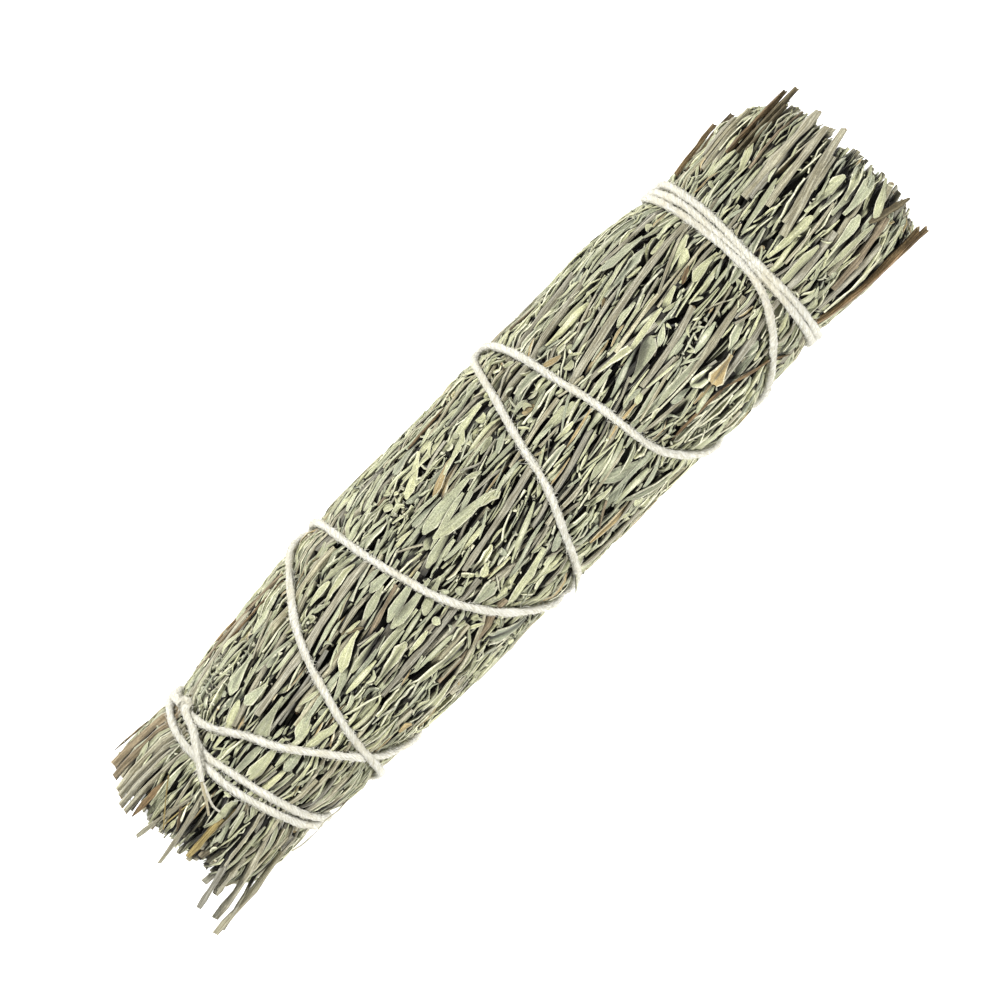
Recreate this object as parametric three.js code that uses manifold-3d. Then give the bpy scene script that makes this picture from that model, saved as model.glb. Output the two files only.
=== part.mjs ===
// A sage smudge stick: leafy sagebrush sprigs laid side by side and bound with cotton string.
// The stick lies along X on its slightly flattened underside, with Z up. Millimetres.
// An angle is measured round the stick, from +Y over the top. A depth is measured inwards from
// the surface that the outermost leaves reach.
import * as THREE from "three";
import { mergeVertices } from "three/addons/utils/BufferGeometryUtils.js";
import Module from "manifold-3d";

// The stick's outline from above: half its width at places along it, pinched under the string.
const OUTLINE = [
  [-106, 17.6],
  [-92, 19.2],
  [-78, 19.2],
  [-58, 21.4],
  [-28, 22.5],
  [0, 22.4],
  [22, 22.5],
  [42, 23.2],
  [64, 21.0],
  [80, 22.3],
  [98, 21.4],
];
const HEIGHT_SHARE = 0.84; // height over width: it dried lying down
const SQUARENESS = 2.3; // 2 is an ellipse
const FLATTENED = 0.8; // how much of the underside is pressed flat

// The sprigs stand in rings: an outer one that shows, a middle one and one in the centre.
const OUTER_SPRIGS = 13;
const MIDDLE_SPRIGS = 6;
const OUTER_RING = [0.62, 1];
const MIDDLE_RING = [0.3, 0.585];
const CENTRE_SHARE = 0.25;
const SPRIG_TWIST = -0.003; // radians of turn per millimetre along the stick
const SPRIG_WANDER = 0.06;
const WANDER_LENGTH = 76;
const SPRIG_FILL = 0.94; // share of its place that a sprig takes up
const STATIONS = [-78, -62, -46, -30, -12, 6, 24, 44, 64, 78]; // where the sprigs bend

// Where the leafy mass stops, and where the cut stems reach.
const MASS_ENDS = [-94, 92];
const STEM_ENDS = [-100, 97.5];
const LONG_STEM_END = -106;
const RAGGED = 3;

const STEM_DEPTH = 2.6; // the packed stems that the leaves stand on
const FURROW_DEPTH = 3.9; // between two packed stems
const STEM_RADIUS = 1.15;
const LEAF_THICKNESS = 0.7;
const LEAF_ROOT_DEPTH = 3.6;

const STRING_RADIUS = 0.95;
const STRING_SIDES = 6;
const STRING_STEP = 7.6; // millimetres of string between two sections
const STRING_GAP = 0.35; // kept clear between the string and the sprigs
const PRESSED_GAP = 0.85; // from the string down to a leaf that is pressed under it

// The string's one route: turns round the stick from its +Y side, and the place along it.
// It starts at the knot, goes round twice, spirals up, goes round the far end, and spirals back.
const STRING_ROUTE = [
  [0.14, -78.0],
  [0.178, -80.1],
  [0.212, -80.9],
  [0.25, -79.8],
  [0.307, -78.1],
  [0.384, -75.9],
  [0.5, -72.8],
  [0.75, -74.5],
  [1.0, -77.6],
  [1.046, -79.0],
  [1.129, -81.7],
  [1.175, -82.4],
  [1.225, -82.5],
  [1.265, -82.0],
  [1.324, -80.1],
  [1.405, -77.5],
  [1.5, -75.2],
  [1.75, -76.0],
  [2.0, -76.2],
  [2.16, -77.0],
  [2.25, -71.1],
  [2.33, -63.6],
  [2.42, -56.5],
  [2.5, -49.4],
  [2.75, -41.5],
  [3.0, -33.0],
  [3.18, -30.0],
  [3.27, -26.1],
  [3.36, -19.6],
  [3.44, -12.8],
  [3.5, -9.8],
  [3.75, 2.5],
  [4.0, 15.6],
  [4.132, 20.1],
  [4.2, 21.9],
  [4.26, 24.1],
  [4.36, 26.2],
  [4.44, 31.0],
  [4.5, 34.8],
  [4.75, 48.5],
  [5.0, 63.6],
  [5.13, 66.2],
  [5.2, 66.8],
  [5.25, 66.5],
  [5.334, 66.6],
  [5.42, 65.9],
  [5.5, 65.2],
  [5.75, 63.4],
  [6.0, 62.0],
  [6.13, 64.5],
  [6.2, 65.1],
  [6.25, 65.2],
  [6.321, 65.2],
  [6.41, 64.3],
  [6.5, 63.4],
  [6.75, 61.5],
  [7.0, 60.4],
  [7.16, 63.2],
  [7.25, 64.2],
  [7.3, 62.9],
  [7.36, 59.1],
  [7.394, 56.2],
  [7.45, 52.1],
  [7.5, 48.8],
  [7.75, 30.5],
  [8.0, 14.0],
  [8.1, 11.7],
  [8.16, 10.1],
  [8.27, 5.6],
  [8.35, 1.1],
  [8.5, -5.2],
  [8.75, -21.5],
  [9.0, -38.2],
  [9.1, -43.9],
  [9.19, -50.9],
  [9.31, -56.9],
  [9.5, -59.6],
  [9.75, -68.5],
  [10.0, -76.4],
  [10.11, -77.2],
];
// Places round the stick where the string goes over a winding that lies there already.
const STRING_HUMPS = [7.27, 9.41, 10.1];
const HUMP_HEIGHT = 1.9;
const HUMP_LENGTH = 0.05;
// The knot: [turns, place along the stick, height over the surface] along its loops, and its tail.
const KNOT_LOOP = [
  [0.113, -77.4, 0.9],
  [0.1, -77.2, 1.6],
  [0.092, -76.2, 2.2],
  [0.097, -75.0, 2.5],
  [0.109, -75.0, 2.3],
  [0.114, -76.2, 1.9],
  [0.105, -77.0, 2.9],
  [0.094, -76.2, 3.3],
  [0.1, -75.2, 3.2],
  [0.11, -75.6, 2.6],
];
const TAIL_ROUTE = [
  [0.113, -76.4, 2.2],
  [0.142, -78.1, 2.6],
  [0.173, -79.7, 2.4],
  [0.1975, -81.5, 2.6],
  [0.219, -83.4, 2.4],
  [0.238, -85.4, 1.5],
  [0.251, -87.2, 1.2],
  [0.2625, -88.6, 1.1],
];

const LEAVES_A_SPRIG = 12;
const TOOTHED_SHARE = 0.34;
const SURFACE_STEMS = 1;
const CUT_STEMS = 3;
const CUT_STEM_SPREAD = 0.62; // of half the sprig's width

const PINCH_GAP = 0.06;
const SIMPLIFIED = 0.08; // finer facets than this are left out where solids are joined

const TURN = 2 * Math.PI;
const wasm = await Module();
wasm.setup();

// A repeatable draw of numbers between 0 and 1.
function seededDraw(seed) {
  let state = seed >>> 0;
  return () => {
    state = (state + 0x6d2b79f5) >>> 0;
    let t = state;
    t = Math.imul(t ^ (t >>> 15), t | 1);
    t ^= t + Math.imul(t ^ (t >>> 7), t | 61);
    return ((t ^ (t >>> 14)) >>> 0) / 4294967296;
  };
}

function spread(draw, half) {
  return (2 * draw() - 1) * half;
}

function halfWidth(x) {
  const last = OUTLINE.length - 1;
  if (x <= OUTLINE[0][0]) return OUTLINE[0][1];
  if (x >= OUTLINE[last][0]) return OUTLINE[last][1];
  const i = OUTLINE.findIndex((p) => p[0] > x);
  const [x0, w0] = OUTLINE[i - 1];
  const [x1, w1] = OUTLINE[i];
  const t = (x - x0) / (x1 - x0);
  return w0 + (w1 - w0) * t * t * (3 - 2 * t);
}

function middleHeight(x) {
  return halfWidth(x) * HEIGHT_SHARE - FLATTENED;
}

// The point at that angle on the stick's surface, which is cut off flat by the ground.
function surfacePoint(angle, x) {
  const w = halfWidth(x);
  const c = Math.cos(angle);
  const s = Math.sin(angle);
  const y = w * Math.sign(c) * Math.abs(c) ** (2 / SQUARENESS);
  const z = w * HEIGHT_SHARE * Math.sign(s) * Math.abs(s) ** (2 / SQUARENESS);
  return new THREE.Vector3(x, y, Math.max(z + middleHeight(x), 0));
}

function pointAtShare(angle, x, share) {
  const middle = new THREE.Vector3(x, 0, middleHeight(x));
  return middle.lerp(surfacePoint(angle, x), share);
}

function pointAtDepth(angle, x, depth) {
  const outside = surfacePoint(angle, x);
  const inwards = new THREE.Vector3(x, 0, middleHeight(x)).sub(outside);
  return outside.addScaledVector(inwards.normalize(), depth);
}

// Millimetres along the surface for each radian of angle.
function arcPerRadian(angle, x) {
  const step = 0.02;
  return surfacePoint(angle + step, x).distanceTo(surfacePoint(angle - step, x)) / (2 * step);
}

// A closed mesh as a solid that can be joined.
function solidOf(geometry) {
  const bare = geometry.index ? geometry.toNonIndexed() : geometry.clone();
  bare.deleteAttribute("normal");
  bare.deleteAttribute("uv");
  const merged = mergeVertices(bare, 1e-4);
  const made = new wasm.Manifold(
    new wasm.Mesh({
      numProp: 3,
      vertProperties: new Float32Array(merged.attributes.position.array),
      triVerts: new Uint32Array(merged.index.array),
    }),
  );
  return made;
}

// The solid as a geometry, without any loose scrap beside its largest body.
function geometryOf(solid) {
  const bodies = solid.decompose();
  bodies.sort((a, b) => b.volume() - a.volume());
  const mesh = bodies[0].getMesh();
  const geometry = new THREE.BufferGeometry();
  const points = new Float32Array(mesh.numVert * 3);
  for (let i = 0; i < mesh.numVert; i++) {
    points.set(mesh.vertProperties.subarray(i * mesh.numProp, i * mesh.numProp + 3), i * 3);
  }
  geometry.setAttribute("position", new THREE.BufferAttribute(points, 3));
  geometry.setIndex(new THREE.BufferAttribute(new Uint32Array(mesh.triVerts), 1));
  geometry.computeVertexNormals();
  partPinches(geometry);
  return geometry;
}

// Where two sides of a body meet in one point, each is drawn back into the body a little.
function partPinches(geometry) {
  const { position, normal } = geometry.attributes;
  const atPlace = new Map();
  for (let i = 0; i < position.count; i++) {
    const key = [position.getX(i), position.getY(i), position.getZ(i)].map((v) => v.toFixed(2)).join();
    atPlace.set(key, [...(atPlace.get(key) ?? []), i]);
  }
  for (const same of atPlace.values()) {
    if (same.length < 2) continue;
    for (const i of same) {
      const inwards = new THREE.Vector3().fromBufferAttribute(normal, i).multiplyScalar(-PINCH_GAP);
      const moved = new THREE.Vector3().fromBufferAttribute(position, i).add(inwards);
      position.setXYZ(i, moved.x, moved.y, moved.z);
    }
  }
}

function joined(solids) {
  return wasm.Manifold.union(solids).asOriginal().simplify(SIMPLIFIED);
}

function geometryFrom(points, faces) {
  const geometry = new THREE.BufferGeometry().setFromPoints(points);
  geometry.setIndex(faces);
  return geometry;
}

// A closed skin over rings of points. Each ring has as many points, in the same order.
function skinOver(rings) {
  const n = rings[0].length;
  const faces = [];
  for (let r = 0; r + 1 < rings.length; r++) {
    for (let i = 0; i < n; i++) {
      const a = r * n + i;
      const b = r * n + ((i + 1) % n);
      faces.push(a, a + n, b, b, a + n, b + n);
    }
  }
  const capOf = (ring) => trianglesIn(ring.map((p) => new THREE.Vector2(p.y, p.z)));
  for (const [a, b, c] of capOf(rings[0])) faces.push(a, b, c);
  const top = (rings.length - 1) * n;
  for (const [a, b, c] of capOf(rings[rings.length - 1])) faces.push(top + a, top + c, top + b);
  return facingOut(rings.flat(), faces);
}

// Triangles that fill a flat outline and turn the same way as it does.
function trianglesIn(outline) {
  const way = Math.sign(THREE.ShapeUtils.area(outline));
  return THREE.ShapeUtils.triangulateShape(outline, []).map(([a, b, c]) => {
    const same = Math.sign(THREE.ShapeUtils.area([outline[a], outline[b], outline[c]])) === way;
    return same ? [a, b, c] : [a, c, b];
  });
}

function facingOut(points, faces) {
  const solid = solidOf(geometryFrom(points, faces));
  return solid.volume() > 0 ? solid : solidOf(geometryFrom(points, [...faces].reverse()));
}

// The string's place as a point at so many turns round the stick.
class StringRoute extends THREE.Curve {
  constructor(route, from, to) {
    super();
    this.spline = new THREE.CatmullRomCurve3(
      route.map(([turns, x]) => new THREE.Vector3(turns, x / 100, 0)),
      false,
      "centripetal",
    );
    this.route = route;
    this.from = from;
    this.to = to;
    this.arcLengthDivisions = 1500;
  }

  getPoint(t, target = new THREE.Vector3()) {
    const turns = this.from + (this.to - this.from) * t;
    const x = placeAlong(this.route, turns);
    const angle = turns * TURN;
    const over = STRING_HUMPS.map((h) => Math.exp(-(((turns - h) / HUMP_LENGTH) ** 2)));
    const hump = HUMP_HEIGHT * Math.max(...over);
    return target.copy(pointAtDepth(angle, x, stringDepth(angle) - hump));
  }
}

// The place along the stick at so many turns, smooth through the route's points.
function placeAlong(route, turns) {
  const last = route.length - 1;
  let i = route.findIndex((p) => p[0] > turns);
  if (i < 1) i = i === 0 ? 1 : last;
  const at = (k) => route[THREE.MathUtils.clamp(k, 0, last)];
  const slope = (k) => {
    const [a, b] = [at(k - 1), at(k + 1)];
    return (b[1] - a[1]) / (b[0] - a[0]);
  };
  const [t0, x0] = at(i - 1);
  const [t1, x1] = at(i);
  const span = t1 - t0;
  const t = THREE.MathUtils.clamp((turns - t0) / span, 0, 1);
  const t2 = t * t;
  const t3 = t2 * t;
  return (
    (2 * t3 - 3 * t2 + 1) * x0 +
    (t3 - 2 * t2 + t) * span * slope(i - 1) +
    (3 * t2 - 2 * t3) * x1 +
    (t3 - t2) * span * slope(i)
  );
}

// The string lies half sunk between the leaves, and wholly sunk where the stick is stood on.
function stringDepth(angle) {
  const down = THREE.MathUtils.smoothstep(-Math.sin(angle), 0.5, 0.9);
  return -0.1 + down * (STRING_RADIUS + 0.25);
}

function stepsAlong(curve) {
  return Math.max(3, Math.round(curve.getLength() / STRING_STEP));
}

function stringTube(curve) {
  const section = new THREE.Shape();
  for (let i = 0; i < STRING_SIDES; i++) {
    const a = (TURN * i) / STRING_SIDES;
    const [u, v] = [STRING_RADIUS * Math.cos(a), STRING_RADIUS * Math.sin(a)];
    if (i === 0) section.moveTo(u, v);
    else section.lineTo(u, v);
  }
  section.closePath();
  const tube = new THREE.ExtrudeGeometry(section, {
    steps: stepsAlong(curve),
    bevelEnabled: false,
    extrudePath: curve,
  });
  return solidOf(tube);
}

// A short run of string through points given as turns, place and height over the surface.
function looseRun(points) {
  const lifted = points.map(([turns, x, height]) => pointAtDepth(turns * TURN, x, -height));
  return new THREE.CatmullRomCurve3(lifted, false, "centripetal");
}

function stringCurves() {
  const first = STRING_ROUTE[0][0];
  const last = STRING_ROUTE[STRING_ROUTE.length - 1][0];
  const runs = Math.ceil(last - first);
  const overlap = 0.008;
  const curves = [];
  for (let i = 0; i < runs; i++) {
    const from = first + ((last - first) * i) / runs;
    const to = first + ((last - first) * (i + 1)) / runs;
    curves.push(new StringRoute(STRING_ROUTE, from, Math.min(to + overlap, last)));
  }
  curves.push(looseRun(KNOT_LOOP), looseRun(TAIL_ROUTE));
  return curves;
}

const STRING_CURVES = stringCurves();
const STRING_POINTS = STRING_CURVES.flatMap(pointsAlongTube);

// Points along the straight pieces that a tube on the curve is made of.
function pointsAlongTube(curve) {
  const corners = curve.getSpacedPoints(stepsAlong(curve));
  const shares = stations(0, 0.85, 6);
  return corners.flatMap((a, i) => {
    const b = corners[Math.min(i + 1, corners.length - 1)];
    return shares.map((t) => a.clone().lerp(b, t));
  });
}

function clearOfString(points, gap) {
  const least = STRING_RADIUS + gap;
  for (const s of STRING_POINTS) {
    for (const p of points) {
      if (Math.abs(p.x - s.x) < least && p.distanceToSquared(s) < least * least) return false;
    }
  }
  return true;
}

// A sprig's place in the outer ring: its angle for a share of its width from -1 to 1.
class Place {
  constructor(index, count, wander) {
    this.index = index;
    this.count = count;
    this.wander = wander;
  }

  edge(index, x) {
    const lean = SPRIG_TWIST * x;
    const sway = this.wander * Math.sin((TURN * x) / WANDER_LENGTH + (index % this.count) * 2.4);
    return (TURN * index) / this.count + lean + sway;
  }

  angle(share, x) {
    const [a, b] = [this.edge(this.index, x), this.edge(this.index + 1, x)];
    return (a + b) / 2 + (share * SPRIG_FILL * (b - a)) / 2;
  }

  // Half the sprig's width on the surface.
  halfArc(x) {
    const [a, b] = [this.edge(this.index, x), this.edge(this.index + 1, x)];
    return (arcPerRadian(this.angle(0, x), x) * (b - a)) / 2;
  }

  // The point an arc across from the sprig's middle, kept inside its place.
  at(arc, x, depth) {
    const share = THREE.MathUtils.clamp(arc / this.halfArc(x), -1, 1);
    return pointAtDepth(this.angle(share, x), x, depth);
  }
}

function stations(from, to, count) {
  return Array.from({ length: count }, (_, i) => from + ((to - from) * i) / (count - 1));
}

// The packed stems of an outer sprig: ridges side by side, with furrows between them.
function packedStems(place, draw, ends) {
  const ridges = [-1, -0.55, 0, 0.55, 1];
  const phase = draw() * TURN;
  const rings = [ends[0], ...STATIONS, ends[1]].map((x) => {
    const sway = 0.1 * Math.sin(x / 14 + phase);
    const outer = ridges.map((share, i) => {
      const isRidge = i % 2 === 1;
      const dip = isRidge ? STEM_DEPTH + 0.5 * draw() : FURROW_DEPTH;
      const shifted = Math.abs(share) === 1 ? share : share + sway;
      return pointAtDepth(place.angle(shifted, x), x, dip);
    });
    const inner = [0.9, -0.9].map((share) => pointAtShare(place.angle(share, x), x, OUTER_RING[0]));
    return [...outer, ...inner];
  });
  return skinOver(rings);
}

// A stem as a five-sided rod through points along the stick, which may be thinner at some.
function rod(points, radius, thins = []) {
  const sides = 5;
  const rings = points.map((centre, k) => {
    const out = centre.clone().sub(new THREE.Vector3(centre.x, 0, middleHeight(centre.x))).normalize();
    const side = new THREE.Vector3(0, out.z, -out.y);
    const r = radius * (thins[k] ?? 1);
    return Array.from({ length: sides }, (_, i) => {
      const a = (TURN * i) / sides;
      const around = out.clone().multiplyScalar(Math.cos(a) * r);
      return centre.clone().add(around).addScaledVector(side, Math.sin(a) * r);
    });
  });
  return skinOver(rings);
}

const SIMPLE_LEAF = [
  [0, 0.22],
  [0.62, 0.5],
  [1, 0.16],
];
const TOOTHED_LEAF = [
  [0, 0.14],
  [0.74, 0.44],
  [0.95, 0.5],
  [0.88, 0.2],
  [1.02, 0.12],
];

function leafOutline(half) {
  const other = [...half].reverse().map(([v, w]) => [v, -w]);
  return [...half, ...other].map(([v, w]) => new THREE.Vector2(v, w));
}

// A leaf blade that stands out of the packed stems, with its root sunk in them.
function leaf(place, { outline, arc, x, heading, length, width, rootDepth, tipDepth }) {
  const rim = leafOutline(outline);
  const onLeaf = (p, sunk) => {
    const [v, w] = [p.x * length, p.y * width];
    const along = x + Math.cos(heading) * v - Math.sin(heading) * w;
    const across = arc + Math.sin(heading) * v + Math.cos(heading) * w;
    const rise = Math.min(1, p.x * 1.6);
    const top = THREE.MathUtils.lerp(rootDepth, tipDepth, rise);
    return place.at(across, along, top + (sunk ? LEAF_THICKNESS : 0));
  };
  const points = [...rim.map((p) => onLeaf(p, false)), ...rim.map((p) => onLeaf(p, true))];
  const n = rim.length;
  const faces = [];
  for (const [a, b, c] of trianglesIn(rim)) {
    faces.push(a, b, c, a + n, c + n, b + n);
  }
  for (let i = 0; i < n; i++) {
    const j = (i + 1) % n;
    faces.push(i, i + n, j, j, i + n, j + n);
  }
  return { solid: facingOut(points, faces), probes: probesOn(points, faces) };
}

// Points spread over a mesh's faces, to measure how clear it is of the string.
function probesOn(points, faces) {
  const probes = [...points];
  const steps = 6;
  for (let f = 0; f < faces.length; f += 3) {
    const [a, b, c] = [points[faces[f]], points[faces[f + 1]], points[faces[f + 2]]];
    for (let i = 0; i <= steps; i++) {
      for (let j = 0; j <= steps - i; j++) {
        const [u, v] = [i / steps, j / steps];
        const p = a.clone().multiplyScalar(1 - u - v);
        probes.push(p.addScaledVector(b, u).addScaledVector(c, v));
      }
    }
  }
  return probes;
}

// The leaves of one outer sprig. One that would touch the string is pressed down under it.
function leavesOf(place, draw, ends) {
  const made = [];
  for (let k = 0; k < LEAVES_A_SPRIG; k++) {
    const toothed = draw() < TOOTHED_SHARE;
    const length = toothed ? 11 + 5 * draw() : 13 + 7 * draw();
    const towardsTop = draw() < 0.72;
    const span = ends[1] - ends[0] - length;
    const low = ends[0] + 3 + (span * (k + 0.15 + 0.7 * draw())) / LEAVES_A_SPRIG;
    const form = {
      outline: toothed ? TOOTHED_LEAF : SIMPLE_LEAF,
      arc: spread(draw, toothed ? 1.6 : 2.6),
      x: towardsTop ? low : low + length,
      heading: (towardsTop ? 0 : Math.PI) + spread(draw, 0.3),
      length,
      width: toothed ? 4.6 + 1.4 * draw() : 2.6 + 1.2 * draw(),
      rootDepth: LEAF_ROOT_DEPTH,
      tipDepth: 0.9 * draw(),
    };
    const lying = THREE.MathUtils.smoothstep(-Math.sin(place.angle(0, form.x)), 0.6, 0.85);
    form.tipDepth *= 1 - lying;
    const free = leaf(place, form);
    if (clearOfString(free.probes, STRING_GAP)) {
      made.push(free.solid);
      continue;
    }
    const under = stringDepth(place.angle(0, form.x)) + STRING_RADIUS + PRESSED_GAP;
    const pressed = leaf(place, { ...form, tipDepth: under });
    if (clearOfString(pressed.probes, STRING_GAP)) made.push(pressed.solid);
  }
  return made;
}

// Bare stretches of stem that lie over the packed ones between two windings.
function surfaceStems(place, draw, ends) {
  const made = [];
  for (let k = 0; k < SURFACE_STEMS; k++) {
    for (let attempt = 0; attempt < 12; attempt++) {
      const length = 22 + 16 * draw();
      const x = ends[0] + (ends[1] - ends[0] - length) * draw();
      const arc = spread(draw, 2.4);
      const lean = spread(draw, 1.6);
      const route = [
        [arc, x, 4.2],
        [arc + lean * 0.25, x + length * 0.25, 1.7],
        [arc + lean * 0.75, x + length * 0.75, 1.6],
        [arc + lean, x + length, 4.2],
      ];
      const points = route.map(([across, along, depth]) => place.at(across, along, depth));
      const probes = stations(0, 1, 24).map((t) => place.at(arc + lean * t, x + length * t, 1.6));
      if (!clearOfString(probes, STEM_RADIUS + STRING_GAP + 0.2)) continue;
      made.push(rod(points, STEM_RADIUS, [0.9, 1, 1, 0.8]));
      break;
    }
  }
  return made;
}

// The cut ends of a sprig's stems, which stick out of its leafy mass at both ends.
function cutStems(place, draw, ends, [inside, outside]) {
  const made = [];
  for (const end of [0, 1]) {
    const outwards = end === 0 ? -1 : 1;
    for (let k = 0; k < CUT_STEMS; k++) {
      const across = -CUT_STEM_SPREAD + (2 * CUT_STEM_SPREAD * (k + 0.2 + 0.6 * draw())) / CUT_STEMS;
      const share = inside + (outside - inside) * draw();
      const root = ends[end] - outwards * 6;
      const facing = Math.cos(place.angle(0, ends[end]));
      const long = end === 0 && facing < -0.35 && facing > -0.95 && k % 2 === 0;
      const reach = long ? LONG_STEM_END + RAGGED * draw() : STEM_ENDS[end] + spread(draw, RAGGED);
      const points = [root, reach].map((x) => pointAtShare(place.angle(across, x), x, share));
      made.push(rod(points, STEM_RADIUS * (0.75 + 0.35 * draw()), [1, 0.9]));
    }
  }
  return made;
}

function outerSprig(index) {
  const draw = seededDraw(1000 + index * 77);
  const place = new Place(index, OUTER_SPRIGS, SPRIG_WANDER);
  const ends = [MASS_ENDS[0] + spread(draw, 2.5), MASS_ENDS[1] + spread(draw, 2.5)];
  return joined([
    packedStems(place, draw, ends),
    ...surfaceStems(place, draw, ends),
    ...leavesOf(place, draw, ends),
    ...cutStems(place, draw, ends, [OUTER_RING[0] + 0.08, 0.9]),
  ]);
}

// A sprig inside the bundle, of which only the cut ends show.
function innerSprig(index, count, [inside, outside]) {
  const draw = seededDraw(5000 + index * 131 + count);
  const place = new Place(index, count, 0);
  const ends = [MASS_ENDS[0] + 1 + spread(draw, 2), MASS_ENDS[1] - 1 + spread(draw, 2)];
  const mass = [ends[0], ...STATIONS, ends[1]].map((x) => [
    ...[-1, 0, 1].map((share) => pointAtShare(place.angle(share, x), x, outside)),
    ...[0.8, 0, -0.8].map((share) => pointAtShare(place.angle(share, x), x, inside)),
  ]);
  return joined([skinOver(mass), ...cutStems(place, draw, ends, [inside + 0.09, outside - 0.07])]);
}

function centreSprig() {
  const draw = seededDraw(9001);
  const place = new Place(0, 1, 0);
  const ends = [MASS_ENDS[0] + 2, MASS_ENDS[1] - 2];
  const sides = 8;
  const mass = [ends[0], ...STATIONS, ends[1]].map((x) =>
    Array.from({ length: sides }, (_, i) => pointAtShare((TURN * i) / sides, x, CENTRE_SHARE)),
  );
  return joined([skinOver(mass), ...cutStems(place, draw, ends, [0.06, CENTRE_SHARE - 0.09])]);
}

const sageGreen = { roughness: 0.9, metalness: 0 };
const LEAF_COLOURS = [0x9da084, 0xa3a58c, 0x959a7e, 0xa8a78f];

function sprigMesh(name, solid, index) {
  const material = new THREE.MeshStandardMaterial({
    color: LEAF_COLOURS[index % LEAF_COLOURS.length],
    ...sageGreen,
  });
  const mesh = new THREE.Mesh(geometryOf(solid), material);
  mesh.name = name;
  return mesh;
}

function cottonString() {
  const material = new THREE.MeshStandardMaterial({ color: 0xebe8da, roughness: 0.95, metalness: 0 });
  const mesh = new THREE.Mesh(geometryOf(joined(STRING_CURVES.map(stringTube))), material);
  mesh.name = "cotton_string";
  return mesh;
}

const twoDigits = (i) => String(i + 1).padStart(2, "0");

const stick = new THREE.Group();
stick.name = "sage_smudge_stick";
for (let i = 0; i < OUTER_SPRIGS; i++) {
  stick.add(sprigMesh(`outer_sprig_${twoDigits(i)}`, outerSprig(i), i));
}
for (let i = 0; i < MIDDLE_SPRIGS; i++) {
  const solid = innerSprig(i, MIDDLE_SPRIGS, MIDDLE_RING);
  stick.add(sprigMesh(`middle_sprig_${twoDigits(i)}`, solid, i + 1));
}
stick.add(sprigMesh("centre_sprig", centreSprig(), 2));
stick.add(cottonString());

// The middle of the underside is put at the origin.
const box = new THREE.Box3().setFromObject(stick);
const middle = box.getCenter(new THREE.Vector3());
for (const mesh of stick.children) {
  mesh.geometry.translate(-middle.x, -middle.y, -box.min.z);
}

export default stick;
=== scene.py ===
"""A dried sage smudge stick: sagebrush sprigs bound with white cotton string, lying on a pale floor."""

import logging
import math
from collections.abc import Callable
from dataclasses import dataclass, field
from enum import Enum

import bmesh
import bpy
import numpy as np
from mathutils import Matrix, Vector


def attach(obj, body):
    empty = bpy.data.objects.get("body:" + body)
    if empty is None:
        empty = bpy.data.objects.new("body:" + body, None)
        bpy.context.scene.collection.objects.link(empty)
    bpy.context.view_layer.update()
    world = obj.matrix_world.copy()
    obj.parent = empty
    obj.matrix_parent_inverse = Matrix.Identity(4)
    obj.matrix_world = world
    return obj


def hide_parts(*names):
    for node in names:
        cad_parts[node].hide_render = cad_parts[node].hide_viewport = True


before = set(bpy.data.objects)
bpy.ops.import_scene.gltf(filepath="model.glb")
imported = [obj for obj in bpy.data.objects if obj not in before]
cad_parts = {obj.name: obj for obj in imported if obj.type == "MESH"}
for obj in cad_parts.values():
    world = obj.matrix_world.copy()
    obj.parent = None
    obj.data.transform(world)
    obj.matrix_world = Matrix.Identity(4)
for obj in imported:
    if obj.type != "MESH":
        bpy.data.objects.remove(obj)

LOG = logging.getLogger("smudge_stick")
MM = 0.001
TURN = 2 * math.pi
Pairs = tuple[tuple[float, float], ...]
Run = tuple[tuple[float, float, float], ...]
Colour = tuple[float, float, float]


class Matter(Enum):
    """What a face is made of, in the order of a sprig's material slots."""

    LEAF = 0
    STEM = 1
    PITH = 2
    BARK = 3
    STRAW = 4


# Shape of the bundle


def columns(table: Pairs) -> np.ndarray:
    """A table of pairs in millimetres, as two rows in metres."""
    return np.array(table, dtype=float).T * MM


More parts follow.
